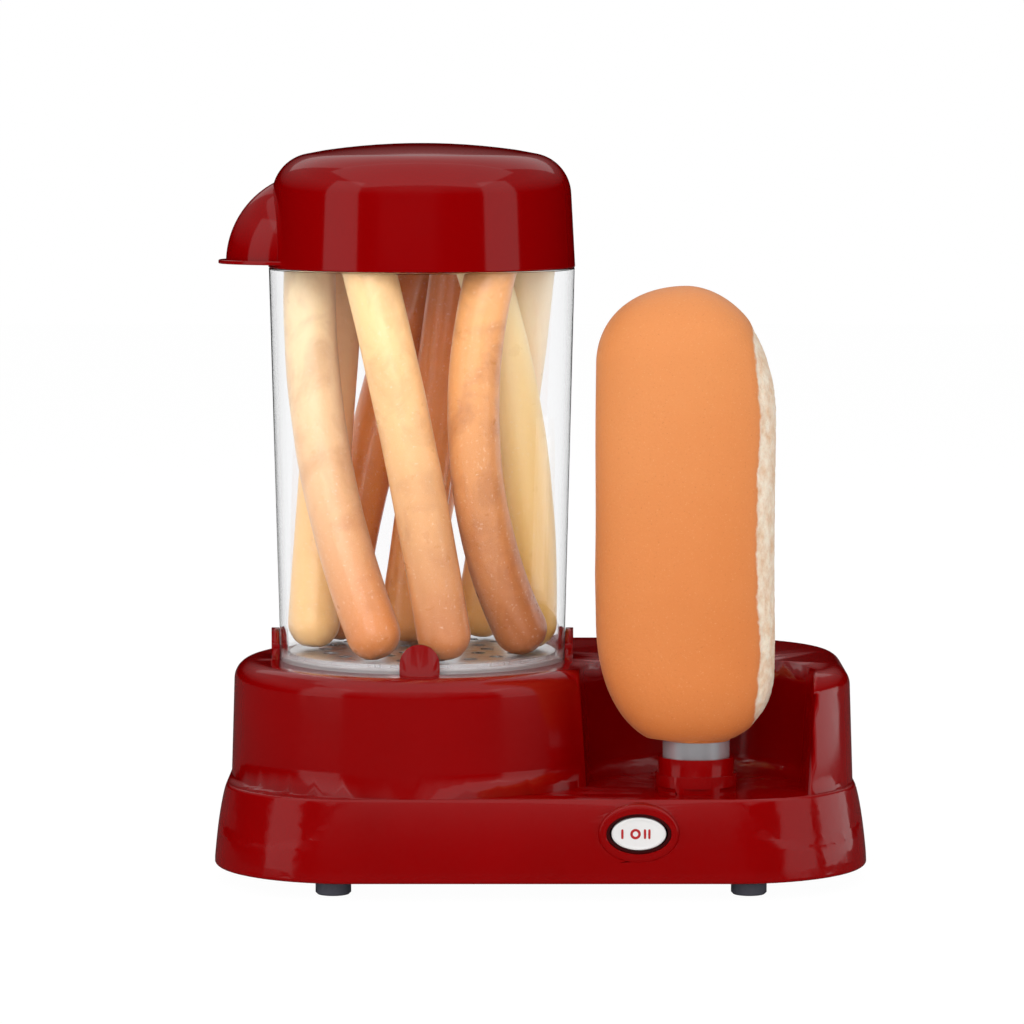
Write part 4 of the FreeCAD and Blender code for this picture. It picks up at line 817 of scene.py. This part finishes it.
# The loaf turned about an upright line: at each height the outline is a rounded oblong,
# |x / a|^p + |y / b|^p = 1, with a and b closing to a point on top and to the bore below. Right
# of the crust's end it is sunk and crumbly.
def bunLoaf():
    height = bunHigh.z - bunLow.z
    share = (1 - np.cos(np.linspace(0, math.pi, 170))) / 2
    drop = share * height
    rise = height - drop
    lift = rise + bun["footCut"]
    left = np.minimum(capped(drop, bun["leftTop"], 2.15), capped(lift, bun["leftFoot"], 2.2))
    right = np.minimum(capped(drop, bun["rightTop"], 2.0), capped(lift, bun["rightFoot"], 2.2))
    depth = np.minimum(capped(drop, bun["depthTop"], 2.2), capped(lift, bun["depthFoot"], 2.2))
    angle = np.linspace(0, 2 * math.pi, 181)[None, :]
    swing, face = np.sin(angle), -np.cos(angle)
    power = 2 / bun["squareness"]
    across = np.sign(swing) * np.abs(swing) ** power
    toward = np.sign(face) * np.abs(face) ** power
    half = np.where(swing > 0, right[:, None], left[:, None]) * bun["halfWidth"]
    x = across * half
    y = toward * depth[:, None] * bun["halfDepth"]
    z = (bunHigh.z - drop)[:, None] + 0 * x
    boreX = spikeX - bunX + bun["boreRadius"] * swing
    boreY = bun["boreRadius"] * face
    close = np.clip(1 - rise / bun["closing"], 0, 1)[:, None]
    inside = (np.hypot(x, y) < np.hypot(boreX, boreY) * 1.001) & (rise < 0.02)[:, None]
    x = np.where(inside, boreX, x * (1 - close) + close * boreX)
    y = np.where(inside, boreY, y * (1 - close) + close * boreY)
    tear = np.interp(drop / height, bun["tearAt"], bun["tearFrom"])[:, None]
    wander = bun["tearWander"] * waves(7, 12, 60.0, 700.0, z)
    torn = np.clip((x - tear - wander) / bun["tearSoft"] + 0.5, 0, 1) * (1 - close)
    torn = torn * (drop > bun["tearTop"])[:, None]
    crumbs = waves(8, 40, 900.0, 2600.0, x + bunX, y, z) * bun["tearGrain"] \
        + 0.5 * bun["tearGrain"] * waves(9, 20, 300.0, 700.0, x, y, z)
    dents = bun["dents"] * waves(10, 14, 30.0, 110.0, x, y, z)
    inward = torn * (bun["tearDepth"] + np.abs(crumbs)) + bun["slack"] + np.abs(dents)
    length = np.sqrt(x ** 2 + y ** 2) + hair
    shrink = np.where(inside, 1.0, (1 - inward / length) * (1 - close) + close)
    outside = np.stack([bunX + x * shrink, bunY + y * shrink, z], axis=-1)
    boreRows = np.array([[bun["boreRadius"], bunLow.z + 0.004], [bun["boreRadius"], bun["boreTop"]],
                         [0.0, bun["boreTop"]]])
    turn = angle[0]
    bore = np.stack([spikeX + boreRows[:, :1] * np.sin(turn), bunY - boreRows[:, :1] * np.cos(turn),
                     boreRows[:, 1:] + 0 * turn], axis=-1)
    marks = {"crumb": np.concatenate([torn, np.ones((3, angle.shape[1]))])}
    piece = gridPiece("bunLoaf", np.concatenate([outside, bore]), bunMaterial(), "bun", 80.0, marks)
    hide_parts("bun")


# Baked crust, deeper towards the foot and the right, with fine grains; pale crumb where torn.
def bunMaterial():
    material, tree, place = newMaterial("bunCrust")
    parts = partsOf(tree, place)
    half = bun["halfWidth"]
    rise = spread(tree, parts["Z"], bunLow.z, bunHigh.z, 0.0, 1.0)
    across = spread(tree, parts["X"], bunX - half, bunX + half, 0.35, 0.0)
    clouds = noise(tree, place, 26.0, 5.0, 0.55, 0.5)
    level = maths(tree, "ADD", rise, across)
    level = maths(tree, "ADD", level, spread(tree, clouds, 0.3, 0.7, -0.06, 0.06))
    crust = ramp(tree, level, [(0.0, colour(221, 122, 50)), (1.0, colour(236, 148, 82))])
    grains = noise(tree, place, 1300.0, 2.0, 0.7)
    crust = mixed(tree, spread(tree, grains, 0.62, 0.74, 0.0, 0.3), crust, colour(250, 196, 140))
    crust = mixed(tree, spread(tree, grains, 0.26, 0.36, 0.35, 0.0), crust, colour(180, 84, 24))
    cells = addNode(tree, "ShaderNodeTexVoronoi", {"Vector": place, "Scale": 420.0})
    crumbClouds = spread(tree, noise(tree, place, 180.0, 5.0, 0.65), 0.35, 0.7, 0.0, 1.0)
    crumbTone = mixed(tree, crumbClouds, colour(252, 236, 214), colour(231, 189, 150))
    crumb = addNode(tree, "ShaderNodeAttribute", attribute_name="crumb").outputs["Fac"]
    ragged = spread(tree, noise(tree, place, 300.0, 4.0), 0.3, 0.7, -0.2, 0.2)
    soft = maths(tree, "ADD", crumb, ragged, True)
    tone = mixed(tree, spread(tree, soft, 0.3, 0.7, 0.0, 1.0), crust, crumbTone)
    crustBump = bump(tree, noise(tree, place, 620.0, 4.0, 0.65), 0.5, 0.0006)
    openness = spread(tree, crumb, 0.0, 1.0, 0.06, 0.4)
    surface(tree, Base_Color=tone, Roughness=spread(tree, crumb, 0.0, 1.0, 0.52, 0.92),
            Subsurface_Weight=0.08, Subsurface_Radius=(0.003, 0.0015, 0.0008), Subsurface_Scale=1.0,
            Sheen_Weight=0.08,
            Normal=bump(tree, cells.outputs["Distance"], openness, 0.0009, crustBump))
    return material


bunLoaf()
print("bun made")


# Studio

studio = {
    "skyStrength": 0.34,              # light of the room on matt surfaces
    "mirrorGlow": 0.22,               # the room as gloss and metal show it
    "glowFrom": 0.16, "glowTo": 0.5,  # how far up it begins and is at its full
    "floorGlow": 0.95, "floorWhite": 1.03, "floorMirror": 0.05,
    "cameraAt": (-0.0114, -1.8556, 0.3111), "cameraPitch": 5.127, "lens": 162.84,
    "floorSize": 9.0,
}


# A rectangular lamp that faces the aim point; its power is radiance x area x pi.
def softbox(name, azimuth, elevation, distance, width, height, radiance, aim=(0.0, 0.0, 0.15), seen=True):
    lamp = bpy.data.lights.new(name, "AREA")
    lamp.shape = "RECTANGLE"
    lamp.size = width
    lamp.size_y = height
    lamp.energy = radiance * width * height * math.pi
    lampObject = bpy.data.objects.new(name, lamp)
    bpy.context.scene.collection.objects.link(lampObject)
    turn, tilt = math.radians(azimuth), math.radians(elevation)
    way = np.array([math.sin(turn) * math.cos(tilt), -math.cos(turn) * math.cos(tilt), math.sin(tilt)])
    lampObject.location = np.array(aim) + way * distance
    lampObject.rotation_euler = (math.pi / 2 - tilt, 0, turn)
    lampObject.visible_camera = False
    lampObject.visible_glossy = seen


# 1 for the camera and for rays that passed the clear wall, gloss in it included, and 0 for
# reflections and matt light.
def seenDirectly(tree, rays):
    passed = maths(tree, "SUBTRACT", rays["Is Glossy Ray"], rays["Is Reflection Ray"], True)
    seen = maths(tree, "MAXIMUM", rays["Is Camera Ray"], rays["Is Transmission Ray"])
    return maths(tree, "MAXIMUM", seen, passed)


# A plain room: white behind the object and through glass, dim where gloss and metal mirror it,
# and there from well above the horizon only.
def studioWorld():
    world = bpy.data.worlds.new("studio")
    bpy.context.scene.world = world
    world.use_nodes = True
    tree = world.node_tree
    tree.nodes.clear()
    way = partsOf(tree, addNode(tree, "ShaderNodeTexCoord").outputs["Generated"])
    rays = addNode(tree, "ShaderNodeLightPath").outputs
    low, high = studio["glowFrom"], studio["glowTo"]
    above = spread(tree, way["Z"], low, high, 0.0, studio["mirrorGlow"])
    matt = maths(tree, "SUBTRACT", 1.0, rays["Is Glossy Ray"])
    matt = maths(tree, "MULTIPLY", matt, studio["skyStrength"])
    mirrored = maths(tree, "MULTIPLY", rays["Is Glossy Ray"], above)
    share = seenDirectly(tree, rays)
    for value in (matt, mirrored):
        share = maths(tree, "MAXIMUM", share, value)
    back = addNode(tree, "ShaderNodeBackground", {"Color": (1.0, 1.0, 1.0, 1.0), "Strength": share})
    addNode(tree, "ShaderNodeOutputWorld", {"Surface": back.outputs[0]})


# A pale floor: its own shading holds the shadow, and the rest of it glows white, or dim in a
# mirror.
def studioFloor():
    half = studio["floorSize"] / 2
    mesh = bpy.data.meshes.new("floor")
    corners = [(-half, -half, 0), (half, -half, 0), (half, half, 0), (-half, half, 0)]
    mesh.from_pydata(corners, [], [(0, 1, 2, 3)])
    floor = bpy.data.objects.new("floor", mesh)
    bpy.context.scene.collection.objects.link(floor)
    material, tree, place = newMaterial("floorPaper")
    paper = mixed(tree, noise(tree, place, 3.0, 2.0), colour(250, 250, 250), colour(247, 247, 247))
    rays = addNode(tree, "ShaderNodeLightPath").outputs
    seen = seenDirectly(tree, rays)
    mirrored = maths(tree, "SUBTRACT", rays["Is Glossy Ray"], seen, True)
    share = maths(tree, "MULTIPLY", seen, studio["floorGlow"])
    share = maths(tree, "MAXIMUM", share, mirrored)
    strength = spread(tree, mirrored, 0.0, 1.0, studio["floorWhite"], studio["floorMirror"])
    matt = addNode(tree, "ShaderNodeBsdfDiffuse", {"Color": paper})
    glow = addNode(tree, "ShaderNodeEmission", {"Color": (1.0, 1.0, 1.0, 1.0), "Strength": strength})
    both = addNode(tree, "ShaderNodeMixShader", {0: share, 1: matt.outputs[0], 2: glow.outputs[0]})
    addNode(tree, "ShaderNodeOutputMaterial", {"Surface": both.outputs[0]})
    floor.data.materials.append(material)


# The camera looks along +Y, pitched down.
def studioCamera():
    camera = bpy.data.cameras.new("camera")
    camera.lens = studio["lens"]
    camera.sensor_width = 36.0
    camera.clip_end = 50.0
    cameraObject = bpy.data.objects.new("camera", camera)
    bpy.context.scene.collection.objects.link(cameraObject)
    cameraObject.location = studio["cameraAt"]
    cameraObject.rotation_euler = (math.radians(90 - studio["cameraPitch"]), 0, 0)
    bpy.context.scene.camera = cameraObject


studioWorld()
studioFloor()
studioCamera()
# azimuth, elevation, distance, width, height, radiance and aim of each lamp
softbox("stripLeft", -62, 0, 1.4, 0.72, 1.3, 0.6, (cupX, 0, 0.65))
softbox("stripRight", 63, 0, 1.4, 0.72, 1.3, 0.6, (cupX, 0, 0.65))
softbox("lowRight", 98, 0, 0.6, 0.36, 0.12, 1.1, (cupX, 0, 0.066))
softbox("overhead", 0, 70, 1.5, 3.0, 2.0, 0.5)
softbox("ceiling", 180, 52, 1.9, 2.6, 1.8, 0.45)
softbox("frontFill", -10, 20, 2.2, 1.8, 1.4, 2.9, (0, 0, 0.15), False)
print("studio made")
